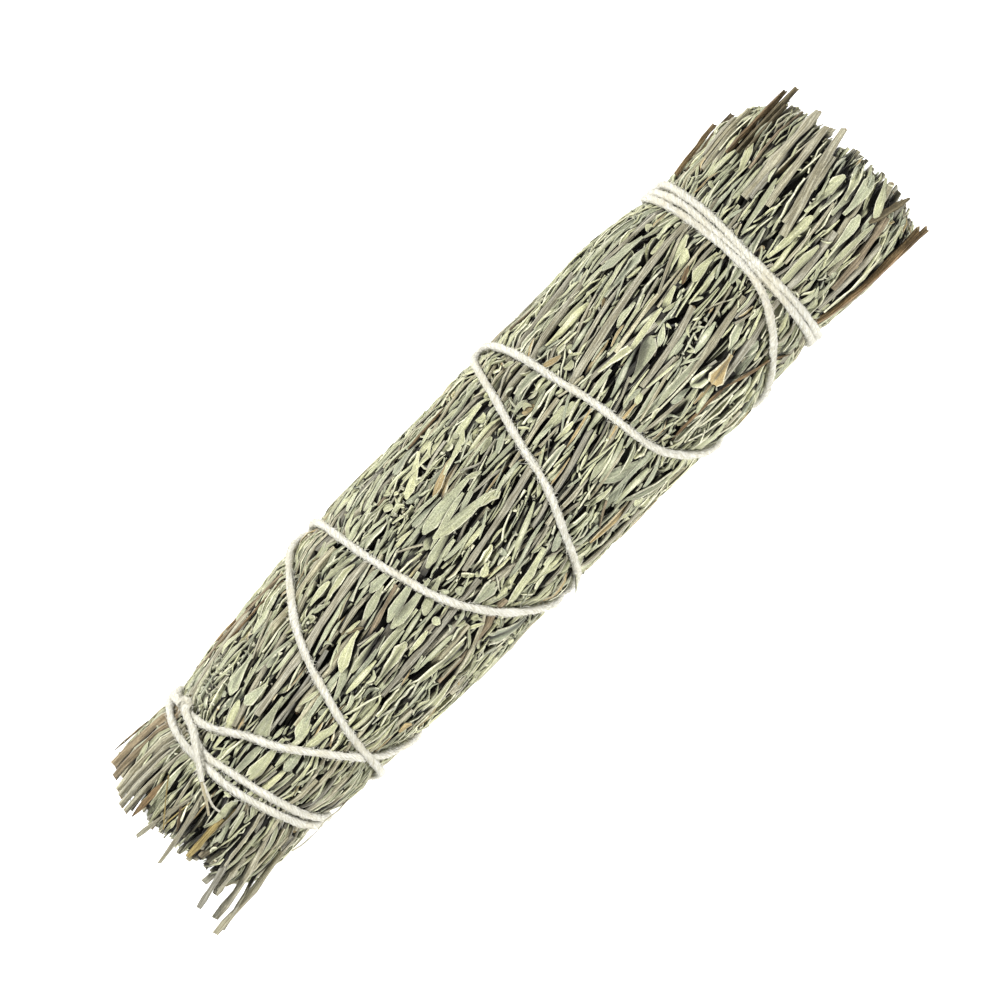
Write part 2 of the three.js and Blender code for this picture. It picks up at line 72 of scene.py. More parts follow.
@dataclass(frozen=True)
class Bundle:
    """The surface that the outermost leaves reach, as a squarish tube pinched under the string.

    The outline and the bulges are places along it and widths in millimetres. The two ends are
    places across it and along it in millimetres.
    """

    outline: Pairs = (
        (-106, 17.6), (-92, 19.2), (-78, 19.2), (-58, 21.4), (-28, 22.5), (0, 22.4), (22, 22.5),
        (42, 23.2), (64, 21.0), (80, 22.3), (98, 21.4),
    )
    height_share: float = 0.84
    squareness: float = 2.3
    flattened: float = 0.8 * MM
    outer_sprigs: int = 13
    middle_sprigs: int = 6
    twist: float = -0.003 / MM
    wander: float = 0.06
    wander_length: float = 76 * MM
    middle: tuple[float, float] = (-2.596 * MM, -0.301 * MM)
    top: float = 36.8 * MM
    widest: float = 23.9 * MM
    held_back: float = 0.6
    left_bulge: Pairs = (
        (-60, -0.7), (-45, 0.5), (0, 0.6), (18, 1.2), (35, 0.3), (60, 0.7), (68, 0.3), (75, -0.8),
        (98, -0.7),
    )
    right_bulge: Pairs = (
        (-92, 0.3), (-84, 0.8), (-69, 0.7), (-59, 0.0), (52, 0.0), (58, 0.9), (66, 0.9), (72, 0.2),
    )
    far_end: Pairs = (
        (-23, 93.5), (-20, 95), (-14, 96.5), (-6, 95.5), (3, 95.5), (10, 94.5), (15, 93.5), (18, 89),
        (21, 83), (24, 78),
    )
    near_end: Pairs = (
        (-23, -90), (-18, -95), (-12, -98), (-7, -98), (-4.4, -94), (-2.4, -94.5), (-0.6, -98.5),
        (4, -97), (10, -98.5), (15, -95.5), (20, -92), (24, -90),
    )

    def half_width(self, x: np.ndarray) -> np.ndarray:
        """Half the bundle's width at places along it."""
        places, widths = columns(self.outline)
        x = np.clip(x, places[0], places[-1])
        i = np.clip(np.searchsorted(places, x, side="right"), 1, len(places) - 1)
        t = (x - places[i - 1]) / (places[i] - places[i - 1])
        return widths[i - 1] + (widths[i] - widths[i - 1]) * t * t * (3 - 2 * t)

    def place(self, angle: np.ndarray, x: np.ndarray, depth: np.ndarray) -> np.ndarray:
        """Points in the row's frame.

        Args:
            angle: Radians round the bundle, from its +Y side over the top.
            x: Metres along the bundle, before it is centred.
            depth: Metres inwards from the bundle's surface.

        Returns:
            The points, one to a row.
        """
        width = self.half_width(x)
        height = width * self.height_share
        c, s = np.cos(angle), np.sin(angle)
        share = 2 / self.squareness
        y = (width + self.bulge(x, c)) * np.sign(c) * np.abs(c) ** share
        level = height - self.flattened
        z = np.maximum(height * np.sign(s) * np.abs(s) ** share, -level)
        length = np.hypot(y, z)
        keep = 1 - depth / np.maximum(length, 1 * MM)
        z = np.maximum(z * keep + level, 0.0)
        z = z - np.maximum(z - self.top, 0.0) * self.held_back
        y = y * keep
        past = np.maximum(np.abs(y) - self.widest, 0.0)
        y = y - np.sign(y) * past * self.held_back
        return np.stack([x - self.middle[0], y - self.middle[1], z], axis=-1)

    def bulge(self, x: np.ndarray, side: np.ndarray) -> np.ndarray:
        """How far the flank on one side swells past the even outline."""
        left, right = (np.interp(x, *columns(table)) for table in (self.left_bulge, self.right_bulge))
        return np.where(side > 0, left, right)

    def side_place(self, angle: np.ndarray, x: np.ndarray) -> np.ndarray:
        """How far to the side the surface lies at an angle."""
        c = np.cos(angle)
        return (self.half_width(x) + self.bulge(x, c)) * np.sign(c) * np.abs(c) ** (2 / self.squareness)

    def angle_over(self, y: float, x: float) -> float:
        """The angle on the upper side at which the surface lies so far to the side."""
        at = np.array([x])
        share = max(-1.0, min(1.0, y / float((self.half_width(at) + self.bulge(at, np.array([y])))[0])))
        return math.acos(math.copysign(abs(share) ** (self.squareness / 2), share))

    def reach(self, angle: np.ndarray, outwards: int) -> np.ndarray:
        """Where the bundle ends, at an angle: its line is ragged, and set back at one side."""
        line = self.far_end if outwards > 0 else self.near_end
        side = self.side_place(angle, np.full(np.shape(angle), outwards * 90 * MM))
        return np.interp(side, *columns(line))

    def arc_rate(self, angle: float, x: float) -> float:
        """Metres along the surface for a radian of angle."""
        step = 0.06
        ends = self.place(np.array([angle - step, angle + step]), np.array([x, x]), np.zeros(2))
        return float(np.linalg.norm(ends[1] - ends[0])) / (2 * step)

    def sprig_edge(self, index: int, count: int, x: float) -> float:
        """The angle where one sprig's place begins."""
        wander = self.wander if count == self.outer_sprigs else 0.0
        sway = wander * math.sin(TURN * x / self.wander_length + (index % count) * 2.4)
        return TURN * index / count + self.twist * x + sway

    def sprig_angle(self, index: int, count: int, share: float, x: float) -> float:
        """The angle across a sprig's place, for a share from -1 to 1."""
        a = self.sprig_edge(index, count, x)
        b = self.sprig_edge(index + 1, count, x)
        return (a + b) / 2 + share * (b - a) / 2


class Chart:
    """The bundle's arc rates and end lines, read by angle from tables."""

    def __init__(self, bundle: Bundle, steps: int = 720) -> None:
        """Fills the tables."""
        self.steps = steps
        angles = np.arange(steps) * TURN / steps
        self.rates = [bundle.arc_rate(float(a), 0.0) for a in angles]
        self.ends = {out: bundle.reach(angles, out).tolist() for out in (-1, 1)}

    def rate(self, angle: float) -> float:
        """Metres along the surface for a radian of angle."""
        return self.rates[int(angle / TURN * self.steps) % self.steps]

    def end(self, angle: float, outwards: int) -> float:
        """Where the bundle ends, at an angle."""
        return self.ends[outwards][int(angle / TURN * self.steps) % self.steps]


@dataclass(frozen=True)
class StringPath:
    """The one route of the string: turns round the bundle, and the place along it in millimetres.

    The humps are the turns at which it crosses over itself.
    """

    route: Pairs = (
        (0.14, -78.0), (0.178, -80.1), (0.212, -80.9), (0.25, -79.8), (0.307, -78.1), (0.384, -75.9),
        (0.5, -72.8), (0.75, -74.5), (1.0, -77.6), (1.046, -79.0), (1.129, -81.7), (1.175, -82.4),
        (1.225, -82.5), (1.265, -82.0), (1.324, -80.1), (1.405, -77.5), (1.5, -75.2), (1.75, -76.0),
        (2.0, -76.2), (2.16, -77.0), (2.25, -71.1), (2.33, -63.6), (2.42, -56.5), (2.5, -49.4),
        (2.75, -41.5), (3.0, -33.0), (3.18, -30.0), (3.27, -26.1), (3.36, -19.6), (3.44, -12.8),
        (3.5, -9.8), (3.75, 2.5), (4.0, 15.6), (4.132, 20.1), (4.2, 21.9), (4.26, 24.1), (4.36, 26.2),
        (4.44, 31.0), (4.5, 34.8), (4.75, 48.5), (5.0, 63.6), (5.13, 66.2), (5.2, 66.8), (5.25, 66.5),
        (5.334, 66.6), (5.42, 65.9), (5.5, 65.2), (5.75, 63.4), (6.0, 62.0), (6.13, 64.5), (6.2, 65.1),
        (6.25, 65.2), (6.321, 65.2), (6.41, 64.3), (6.5, 63.4), (6.75, 61.5), (7.0, 60.4),
        (7.16, 63.2), (7.25, 64.2), (7.3, 62.9), (7.36, 59.1), (7.394, 56.2), (7.45, 52.1),
        (7.5, 48.8), (7.75, 30.5), (8.0, 14.0), (8.1, 11.7), (8.16, 10.1), (8.27, 5.6), (8.35, 1.1),
        (8.5, -5.2), (8.75, -21.5), (9.0, -38.2), (9.1, -43.9), (9.19, -50.9), (9.31, -56.9),
        (9.5, -59.6), (9.75, -68.5), (10.0, -76.4), (10.11, -77.2),
    )
    humps: tuple[float, ...] = (7.27, 9.41, 10.1)
    hump_height: float = 1.9 * MM
    hump_length: float = 0.05
    radius: float = 0.95 * MM
    highest: float = 37.3 * MM

    def along(self, turns: np.ndarray) -> np.ndarray:
        """The place along the bundle at so many turns, smooth through the route's points."""
        t, x = np.array(self.route).T
        x = x * MM
        before = np.maximum(np.arange(len(t)) - 1, 0)
        after = np.minimum(np.arange(len(t)) + 1, len(t) - 1)
        slope = (x[after] - x[before]) / (t[after] - t[before])
        i = np.clip(np.searchsorted(t, turns, side="right"), 1, len(t) - 1)
        span = t[i] - t[i - 1]
        u = np.clip((turns - t[i - 1]) / span, 0, 1)
        return curved(u, x[i - 1], span * slope[i - 1], x[i], span * slope[i])

    def depth(self, turns: np.ndarray) -> np.ndarray:
        """How deep the string's middle lies: half sunk, and wholly sunk on the underside."""
        down = np.clip((-np.sin(turns * TURN) - 0.5) / 0.4, 0, 1)
        down = down * down * (3 - 2 * down)
        over = np.max([np.exp(-(((turns - h) / self.hump_length) ** 2)) for h in self.humps], axis=0)
        return -0.1 * MM + down * (self.radius + 0.25 * MM) - self.hump_height * over

    def points(self, bundle: Bundle, step: float) -> np.ndarray:
        """Points evenly spaced along the windings."""
        turns = np.linspace(self.route[0][0], self.route[-1][0], 6000)
        line = bundle.place(turns * TURN, self.along(turns), self.depth(turns))
        line[:, 2] = np.minimum(line[:, 2], self.highest)
        return even_steps(line, step)


def curved(u: np.ndarray, a: np.ndarray, leaving: np.ndarray, b: np.ndarray, entering: np.ndarray) -> np.ndarray:
    """The place at a share of the way from a to b, for the slopes at both."""
    return (
        (2 * u**3 - 3 * u**2 + 1) * a
        + (u**3 - 2 * u**2 + u) * leaving
        + (3 * u**2 - 2 * u**3) * b
        + (u**3 - u**2) * entering
    )


def even_steps(line: np.ndarray, step: float) -> np.ndarray:
    """A line's points taken again at even distances.

    Args:
        line: Points in order.
        step: The wanted distance between two of them.

    Returns:
        The new points, with the first and the last kept.
    """
    lengths = np.linalg.norm(np.diff(line, axis=0), axis=1)
    run = np.concatenate([[0.0], np.cumsum(lengths)])
    count = max(4, int(round(run[-1] / step)) + 1)
    places = np.linspace(0, run[-1], count)
    return np.stack([np.interp(places, run, line[:, k]) for k in range(3)], axis=-1)


class Pinch:
    """How far the windings press the foliage in beneath them."""

    def __init__(self, path: StringPath, depth: float = 1.05 * MM, reach: float = 1.9 * MM) -> None:
        """Tabulates where each winding crosses each angle."""
        self.depth = depth
        self.reach = reach
        self.steps = 720
        first, last = path.route[0][0], path.route[-1][0]
        grid = np.arange(self.steps) / self.steps
        self.places = []
        self.slants = []
        for lap in range(int(math.floor(first)), int(math.ceil(last)) + 1):
            turns = grid + lap
            inside = (turns >= first) & (turns <= last)
            x = np.where(inside, path.along(turns), 9.0)
            slope = (path.along(turns + 0.004) - path.along(turns - 0.004)) / 0.008
            self.places.append(x)
            self.slants.append(1 / np.hypot(1, slope / (TURN * 20 * MM)))
        self.places = np.array(self.places)
        self.slants = np.array(self.slants)

    def press(self, angle: np.ndarray, x: np.ndarray) -> np.ndarray:
        """The added depth at points on the bundle."""
        i = np.round(np.mod(angle / TURN, 1) * self.steps).astype(int) % self.steps
        apart = np.abs(self.places[:, i] - x) * self.slants[:, i]
        nearest = apart.min(axis=0)
        return self.depth * np.exp(-((nearest / self.reach) ** 2))


# Modelled forms that are laid many times


@dataclass
class Form:
    """One modelled leaf, stem or crumb: its points, faces and what each face is made of.

    Its length runs along X from 0, its width along Y, and its upper side faces Z.
    """

    points: np.ndarray
    faces: list[tuple[int, ...]]
    matter: list[int]
    rim: np.ndarray
    across: np.ndarray

    @property
    def length(self) -> float:
        """The form's length."""
        return float(self.points[:, 0].max())


def only_selected(piece: bpy.types.Object) -> None:
    """Makes one object the only selected and the active one."""
    bpy.ops.object.select_all(action="DESELECT")
    piece.select_set(True)
    bpy.context.view_layer.objects.active = piece


def pick(piece: bpy.types.Object, test: Callable[[Vector], bool]) -> None:
    """Selects the vertices that pass a test, in edit mode.

    Args:
        piece: The mesh that is being edited.
        test: Says of a vertex's place whether it is picked.
    """
    shape = bmesh.from_edit_mesh(piece.data)
    for part in list(shape.faces) + list(shape.edges):
        part.select = False
    for vert in shape.verts:
        vert.select = bool(test(vert.co))
    shape.select_flush_mode()
    bmesh.update_edit_mesh(piece.data)


def start_editing(name: str) -> bpy.types.Object:
    """Names the object just made, and opens it for editing with everything picked."""
    piece = bpy.context.object
    piece.name = name
    bpy.ops.object.mode_set(mode="EDIT")
    bpy.ops.mesh.select_all(action="SELECT")
    return piece


def move_picked(x: float, y: float, z: float) -> None:
    """Moves what is picked."""
    bpy.ops.transform.translate(value=(x, y, z))


def scale_picked(x: float, y: float, z: float, centre: float = 0.0) -> None:
    """Scales what is picked, from a place along the piece."""
    bpy.ops.transform.resize(value=(x, y, z), center_override=(centre, 0, 0))


def apply_modifiers(piece: bpy.types.Object) -> None:
    """Applies every modifier of an object in order."""
    only_selected(piece)
    for name in [m.name for m in piece.modifiers]:
        bpy.ops.object.modifier_apply(modifier=name)


def thicken(piece: bpy.types.Object, thickness: float, offset: float) -> None:
    """Gives a flat mesh its thickness."""
    walls = piece.modifiers.new("thickness", "SOLIDIFY")
    walls.thickness = thickness
    walls.offset = offset
    apply_modifiers(piece)


def new_object(name: str, data: bpy.types.ID) -> bpy.types.Object:
    """Puts a new object with some data in the scene."""
    made = bpy.data.objects.new(name, data)
    bpy.context.scene.collection.objects.link(made)
    return made


def write_vectors(mesh: bpy.types.Mesh, title: str, rows: np.ndarray) -> None:
    """Writes a vector for each of a mesh's points."""
    layer = mesh.attributes.new(title, "FLOAT_VECTOR", "POINT")
    layer.data.foreach_set("vector", rows.astype(np.float32).ravel())


def taken_mesh() -> tuple[np.ndarray, list[tuple[int, ...]]]:
    """The points and faces of the object just made, which is removed."""
    mesh = bpy.context.object.data
    points = np.array([v.co for v in mesh.vertices])
    faces = [tuple(p.vertices) for p in mesh.polygons]
    bpy.data.objects.remove(bpy.context.object)
    bpy.data.meshes.remove(mesh)
    return points, faces


def taken_form(matter: Matter, cut_from: float, rim_on_top: bool = False) -> Form:
    """Reads the piece just modelled into a form, and removes it.

    Args:
        matter: What it is made of.
        cut_from: Faces wholly beyond this place along it are its cut pith.
        rim_on_top: Whether its margins meet along its upper side.

    Returns:
        The form.
    """
    points, faces = taken_mesh()
    thick = np.ptp(points[:, 2]) > 0.5 * np.ptp(points[:, 1])
    around = np.arctan2(points[:, 1], points[:, 2]) * np.ptp(points[:, 1]) / 2
    across = around if thick else points[:, 1]
    kinds = []
    for face in faces:
        cut = points[list(face), 0].min() > cut_from
        kinds.append(Matter.PITH.value if cut else matter.value)
    if rim_on_top:
        rim = np.clip(points[:, 2] / points[:, 2].max(), 0, 1) * 0.9
    else:
        stations = np.round(points[:, 0] / points[:, 0].max() * 24).astype(int)
        widest = np.abs(points[:, 1]).max()
        local = np.array([np.abs(points[stations == b, 1]).max() for b in stations])
        rim = np.clip(np.abs(points[:, 1]) / np.maximum(local, widest * 0.05), 0, 1)
    return Form(points, faces, kinds, rim, across)


@dataclass(frozen=True)
class LeafModel:
    """A leaf as its outline's widths along it, and its tip's lobes."""

    name: str
    length: float
    width: float
    profile: tuple[float, ...]
    rows: int = 4
    lobes: tuple[float, ...] = ()
    thickness: float = 0.36 * MM
    midrib: float = 0.14 * MM

    def build(self) -> Form:
        """Models the leaf from a flat grid, and gives it its thickness."""
        columns = len(self.profile) - 1
        bpy.ops.mesh.primitive_grid_add(x_subdivisions=columns, y_subdivisions=self.rows, size=1)
        leaf = start_editing(self.name)
        move_picked(0.5, 0, 0)
        scale_picked(self.length, self.width, 1)
        self._shape_columns(leaf, columns)
        self._shape_lobes(leaf)
        pick(leaf, lambda co: abs(co.y) < self.width * 0.02)
        move_picked(0, 0, -self.midrib)
        bpy.ops.object.mode_set(mode="OBJECT")
        thicken(leaf, self.thickness, 0)
        return taken_form(Matter.LEAF, self.length)

    def _shape_columns(self, leaf: bpy.types.Object, columns: int) -> None:
        """Draws each column of the grid in to the outline's width there."""
        for i, share in enumerate(self.profile):
            x = self.length * i / columns
            pick(leaf, lambda co, x=x: abs(co.x - x) < self.length * 0.01)
            scale_picked(1, share, 1, x)

    def _shape_lobes(self, leaf: bpy.types.Object) -> None:
        """Moves the tip's points forward or back into teeth."""
        tip = self.width * self.profile[-1]
        near = tip * 0.3 / self.rows
        columns = len(self.profile) - 1
        beyond = self.length * (1 - 0.5 / columns)
        for j, forward in enumerate(self.lobes):
            y = tip * (j / self.rows - 0.5)
            pick(leaf, lambda co, y=y: co.x > beyond and abs(co.y - y) < near)
            move_picked(forward * self.length, 0, 0)


@dataclass(frozen=True)
class RodModel:
    """A stem, straw, rolled leaf or strip of bark, as a rod that swells and shrinks along it."""

    name: str
    length: float
    width: float
    matter: Matter
    swellings: tuple[float, ...]
    sides: int = 8
    flatness: float = 0.9
    furrow: float = 0.86
    groove: float = 0.0
    cut: bool = False

    def build(self) -> Form:
        """Models the rod from a cylinder, cut across into lengths."""
        bpy.ops.mesh.primitive_cylinder_add(vertices=self.sides, radius=0.5, depth=1, end_fill_type="NGON")
        rod = start_editing(self.name)
        bpy.ops.transform.rotate(value=math.pi / 2, orient_axis="Y", center_override=(0, 0, 0))
        move_picked(0.5, 0, 0)
        scale_picked(self.length, self.width, self.width * self.flatness)
        spans = len(self.swellings) - 1
        for i in range(1, spans):
            bpy.ops.mesh.select_all(action="SELECT")
            bpy.ops.mesh.bisect(plane_co=(self.length * i / spans, 0, 0), plane_no=(1, 0, 0))
        self._shape_rings(rod, spans)
        self._press_lines(rod)
        if self.cut:
            self._cut_across(rod)
        bpy.ops.object.mode_set(mode="OBJECT")
        cut_from = self.length - self.width if self.cut else self.length
        return taken_form(self.matter, cut_from, self.groove > 0)

    def _cut_across(self, rod: bpy.types.Object) -> None:
        """Cuts the far end slantwise, with a torn corner and a sunk pith."""
        tip = self.length * 0.98
        pick(rod, lambda co: co.x > tip)
        centre = (self.length, 0, 0)
        bpy.ops.transform.rotate(value=0.5, orient_axis="Z", center_override=centre)
        bpy.ops.transform.rotate(value=0.3, orient_axis="Y", center_override=centre)
        pick(rod, lambda co: co.x > tip and co.y > self.width * 0.3)
        move_picked(-self.width * 0.3, 0, 0)
        pick(rod, lambda co: co.x > tip)
        bpy.ops.mesh.inset(thickness=self.width * 0.14, depth=-self.width * 0.08)

    def _shape_rings(self, rod: bpy.types.Object, spans: int) -> None:
        """Swells or shrinks each ring."""
        for i, swell in enumerate(self.swellings):
            x = self.length * i / spans
            pick(rod, lambda co, x=x: abs(co.x - x) < self.length * 0.01)
            scale_picked(1, swell, swell, x)

    def _press_lines(self, rod: bpy.types.Object) -> None:
        """Draws every third corner in as a furrow, and presses the groove of a rolled leaf."""

        def in_furrow(co: Vector) -> bool:
            """Says whether a corner of the rod is one of its furrows."""
            corner = math.atan2(co.z / self.flatness, co.y) / TURN * self.sides
            return round(corner) % 3 == 0

        pick(rod, in_furrow)
        scale_picked(1, self.furrow, self.furrow)
        if self.groove > 0:
            pick(rod, lambda co: co.z > 0 and abs(co.y) < co.z * 0.35)
            scale_picked(1, 1, 1 - self.groove)


@dataclass(frozen=True)
class CrumbModel:
    """A broken bit of dry leaf."""

    name: str = "crumb"
    size: float = 1.3 * MM

    def build(self) -> Form:
        """Models the crumb from a squashed, crumpled ball."""
        bpy.ops.mesh.primitive_ico_sphere_add(subdivisions=1, radius=0.5)
        start_editing(self.name)
        bpy.ops.transform.resize(value=(self.size, self.size * 0.7, self.size * 0.45))
        bpy.ops.transform.vertex_random(offset=self.size * 0.16, seed=5)
        move_picked(self.size * 0.5, 0, 0)
        bpy.ops.object.mode_set(mode="OBJECT")
        return taken_form(Matter.LEAF, self.size * 2)


WEDGE = (0.16, 0.24, 0.4, 0.66, 0.92, 0.86)
ROUNDED = (-0.1, -0.02, 0.0, -0.02, -0.1)
THREE_TEETH = (-0.15, 0.0, -0.1, 0.01, 0.04, 0.01, -0.1, 0.0, -0.15)
WORN_TEETH = (-0.16, -0.02, -0.03, 0.01, -0.03, -0.01, -0.14)
TAPERED = (0.42, 0.8, 1.0, 1.04, 0.94, 0.74, 0.3)
EVEN_STEM = (1.0, 0.95, 1.08, 0.96, 1.0, 1.12, 0.95, 1.0)
KNOTTY_STEM = (1.0, 0.9, 1.0, 1.3, 0.92, 0.9, 1.22, 0.98)
FORM_MODELS = (
    LeafModel("narrow_leaf", 13 * MM, 1.7 * MM, (0.3, 0.6, 0.9, 1.0, 0.86, 0.34)),
    LeafModel("lance_leaf", 13 * MM, 1.5 * MM, (0.4, 0.85, 1.0, 0.86, 0.56, 0.12)),
    LeafModel("spoon_leaf", 12 * MM, 2.7 * MM, (0.24, 0.36, 0.6, 0.88, 1.0, 0.62), lobes=ROUNDED),
    LeafModel("long_spoon_leaf", 14 * MM, 2.3 * MM, (0.3, 0.5, 0.8, 1.0, 0.96, 0.6), lobes=ROUNDED),
    LeafModel("toothed_leaf", 12 * MM, 5.0 * MM, WEDGE, rows=8, lobes=THREE_TEETH),
    LeafModel("blunt_leaf", 11 * MM, 4.2 * MM, WEDGE, rows=6, lobes=WORN_TEETH),
    RodModel("rolled_leaf", 12 * MM, 1.25 * MM, Matter.LEAF, TAPERED, 6, flatness=0.85, furrow=0.95, groove=0.5),
    RodModel("thin_rolled_leaf", 11 * MM, 0.85 * MM, Matter.LEAF, TAPERED, sides=6, furrow=0.9, groove=0.4),
    RodModel("shred", 6 * MM, 0.7 * MM, Matter.LEAF, (0.5, 1.0, 0.9, 0.5), sides=5, flatness=0.8),
    LeafModel("scrap", 2.6 * MM, 1.3 * MM, (0.5, 1.0, 0.9, 0.4), rows=2),
    RodModel("curl", 3.4 * MM, 0.75 * MM, Matter.LEAF, (0.4, 1.0, 1.1, 0.8, 0.4), sides=5, flatness=0.7),
    RodModel("stem", 34 * MM, 2.0 * MM, Matter.STEM, EVEN_STEM, cut=True),
    RodModel("knotty_stem", 32 * MM, 2.1 * MM, Matter.STEM, KNOTTY_STEM, cut=True),
    RodModel("dark_stem", 22 * MM, 1.9 * MM, Matter.BARK, EVEN_STEM, sides=6, furrow=0.75, cut=True),
    RodModel("twig", 16 * MM, 0.95 * MM, Matter.STEM, (1.1, 1, 0.9, 1.1, 0.85, 0.7), sides=6),
    RodModel("wisp", 8 * MM, 0.34 * MM, Matter.STEM, (1.0, 0.9, 0.8, 0.3), sides=4, furrow=1.0),
    RodModel("bark_strip", 22 * MM, 2.2 * MM, Matter.BARK, (0.3, 0.9, 1.1, 0.8, 1.0, 0.7, 0.25), flatness=0.4),
    RodModel("straw", 20 * MM, 1.4 * MM, Matter.STRAW, EVEN_STEM, flatness=0.7, cut=True),
    CrumbModel(),
)


# Laying the forms


@dataclass
class Manner:
    """How one laid copy differs from its form."""

    stretch: float = 1.0
    widen: float = 1.0
    furl: float = 0.0
    fold: float = 0.0
    roll: float = 0.0
    twist: float = 0.0
    sweep: float = 0.0
    hook: float = 0.0
    bow: float = 0.0
    crinkle: float = 0.0
    tint: float = 0.5
    phase: float = 0.0


@dataclass
class Bent:
    """A form's points once they are stretched, furled, folded, rolled and twisted."""

    form: Form
    share: np.ndarray
    along: np.ndarray
    across: np.ndarray
    height: np.ndarray
    length: float
    half_width: float
    rise: float
    fall: float


def bend(form: Form, manner: Manner) -> Bent:
    """Gives a form's points the manner of one copy.

    Args:
        form: The modelled form.
        manner: How the copy differs.

    Returns:
        The copy's points, along, across and over its own line.
    """
    along = form.points[:, 0] * manner.stretch
    y = form.points[:, 1] * manner.widen
    z = form.points[:, 2] * manner.widen**0.5
    length = form.length * manner.stretch
    u = along / length
    wave = np.sin(u * 17 + manner.phase) + 0.6 * np.sin(u * 31 + 2.3 * manner.phase)
    z = z + manner.crinkle * wave * form.rim**2 * np.sign(y)
    y = y * (1 + manner.crinkle * 0.25 / MM * np.sin(u * 23 + 1.7 * manner.phase))
    if abs(manner.furl) > 1e-3:
        rate = manner.furl / MM
        around = np.clip(y * rate, -2.6, 2.6)
        y, z = (1 / rate - z) * np.sin(around), 1 / rate - (1 / rate - z) * np.cos(around)
    slope = math.atan(manner.fold)
    y, z = y * math.cos(slope), z + np.abs(y) * math.sin(slope)
    turn = manner.roll + manner.twist * (u - 0.5)
    y, z = y * np.cos(turn) - z * np.sin(turn), y * np.sin(turn) + z * np.cos(turn)
    half_width = (np.percentile(y, 96) - np.percentile(y, 4)) / 2
    rise, fall = np.percentile(z, 94), -np.percentile(z, 6)
    y = y + manner.sweep * (u * u - u) + manner.hook * u**4
    z = z + manner.bow * 4 * u * (1 - u)
    return Bent(form, u, along, y, z, length, float(half_width), float(rise), float(fall))


class Ground:
    """How far out the laid pieces reach, as a depth for each small cell of the bundle's surface, from which the
    painted shade between the pieces is read.
    """

    low: float = -112 * MM
    step: float = 0.27 * MM
    shape: tuple[int, int] = (830, 520)
    # The reaches and depths over which the painted shade between the pieces is measured, and its even part and its
    # weights.
    near: float = 0.5 * MM
    near_depth: float = 0.6 * MM
    wide: float = 1.9 * MM
    shades: tuple[float, float, float] = (0.27, 0.5, 0.16)

    def __init__(self, start: float) -> None:
        """Starts every cell at the core's depth."""
        self.depth = np.full(self.shape, start)
        self.levels: list[np.ndarray] = []

    def cells(self, angle: np.ndarray, x: np.ndarray) -> tuple[np.ndarray, np.ndarray]:
        """The cells at points of the surface."""
        rows, columns = self.depth.shape
        row = np.clip(((x - self.low) / self.step).astype(int), 0, rows - 1)
        column = (np.mod(angle / TURN, 1) * columns).astype(int) % columns
        return row, column

    def raise_to(self, angle: np.ndarray, x: np.ndarray, depth: np.ndarray) -> None:
        """Raises the cells under points to the points' depth where they lie deeper."""
        np.minimum.at(self.depth, self.cells(angle, x), depth)

    def blurred(self, reach: float) -> np.ndarray:
        """The mean depth round each cell, out to a reach."""
        waves = [np.fft.fftfreq(n) for n in self.depth.shape]
        square = waves[0][:, None] ** 2 + waves[1][None, :] ** 2
        falloff = np.exp(-2 * (math.pi * reach / self.step) ** 2 * square)
        return np.fft.ifft2(np.fft.fft2(self.depth) * falloff).real

    def settle_levels(self) -> None:
        """Takes the mean depths that the painted shade between the pieces is read from."""
        self.levels = [self.blurred(self.near), self.blurred(self.wide)]

    def gap(self, angle: np.ndarray, x: np.ndarray, depth: np.ndarray) -> np.ndarray:
        """How far below the pieces round them points lie, as a painted shade from 0 to 1."""
        at = self.cells(angle, x)
        near = (depth - self.levels[0][at]) / self.near_depth
        wide = (depth - self.levels[1][at]) / self.wide
        even, by_near, by_wide = self.shades
        return np.clip(even + by_near * near + by_wide * wide, 0, 1)


STATIONS = np.linspace(0.03, 0.97, 9)
LANES = np.array([-0.7, 0.0, 0.7])


def smoothing(degree: int) -> np.ndarray:
    """The matrix that takes depths at the stations to their fitted curve of a degree."""
    powers = np.vander(STATIONS, degree + 1)
    return powers @ np.linalg.pinv(powers)


@dataclass
class Spot:
    """Where a copy is laid: its root's angle and place along, its heading, and its depths.

    A free copy may stand out of the bundle's surface.
    """

    angle: float
    x: float
    heading: float
    depths: np.ndarray
    free: bool = False

    def mean_depth(self) -> float:
        """The mean depth of its line."""
        return self.depths.mean()


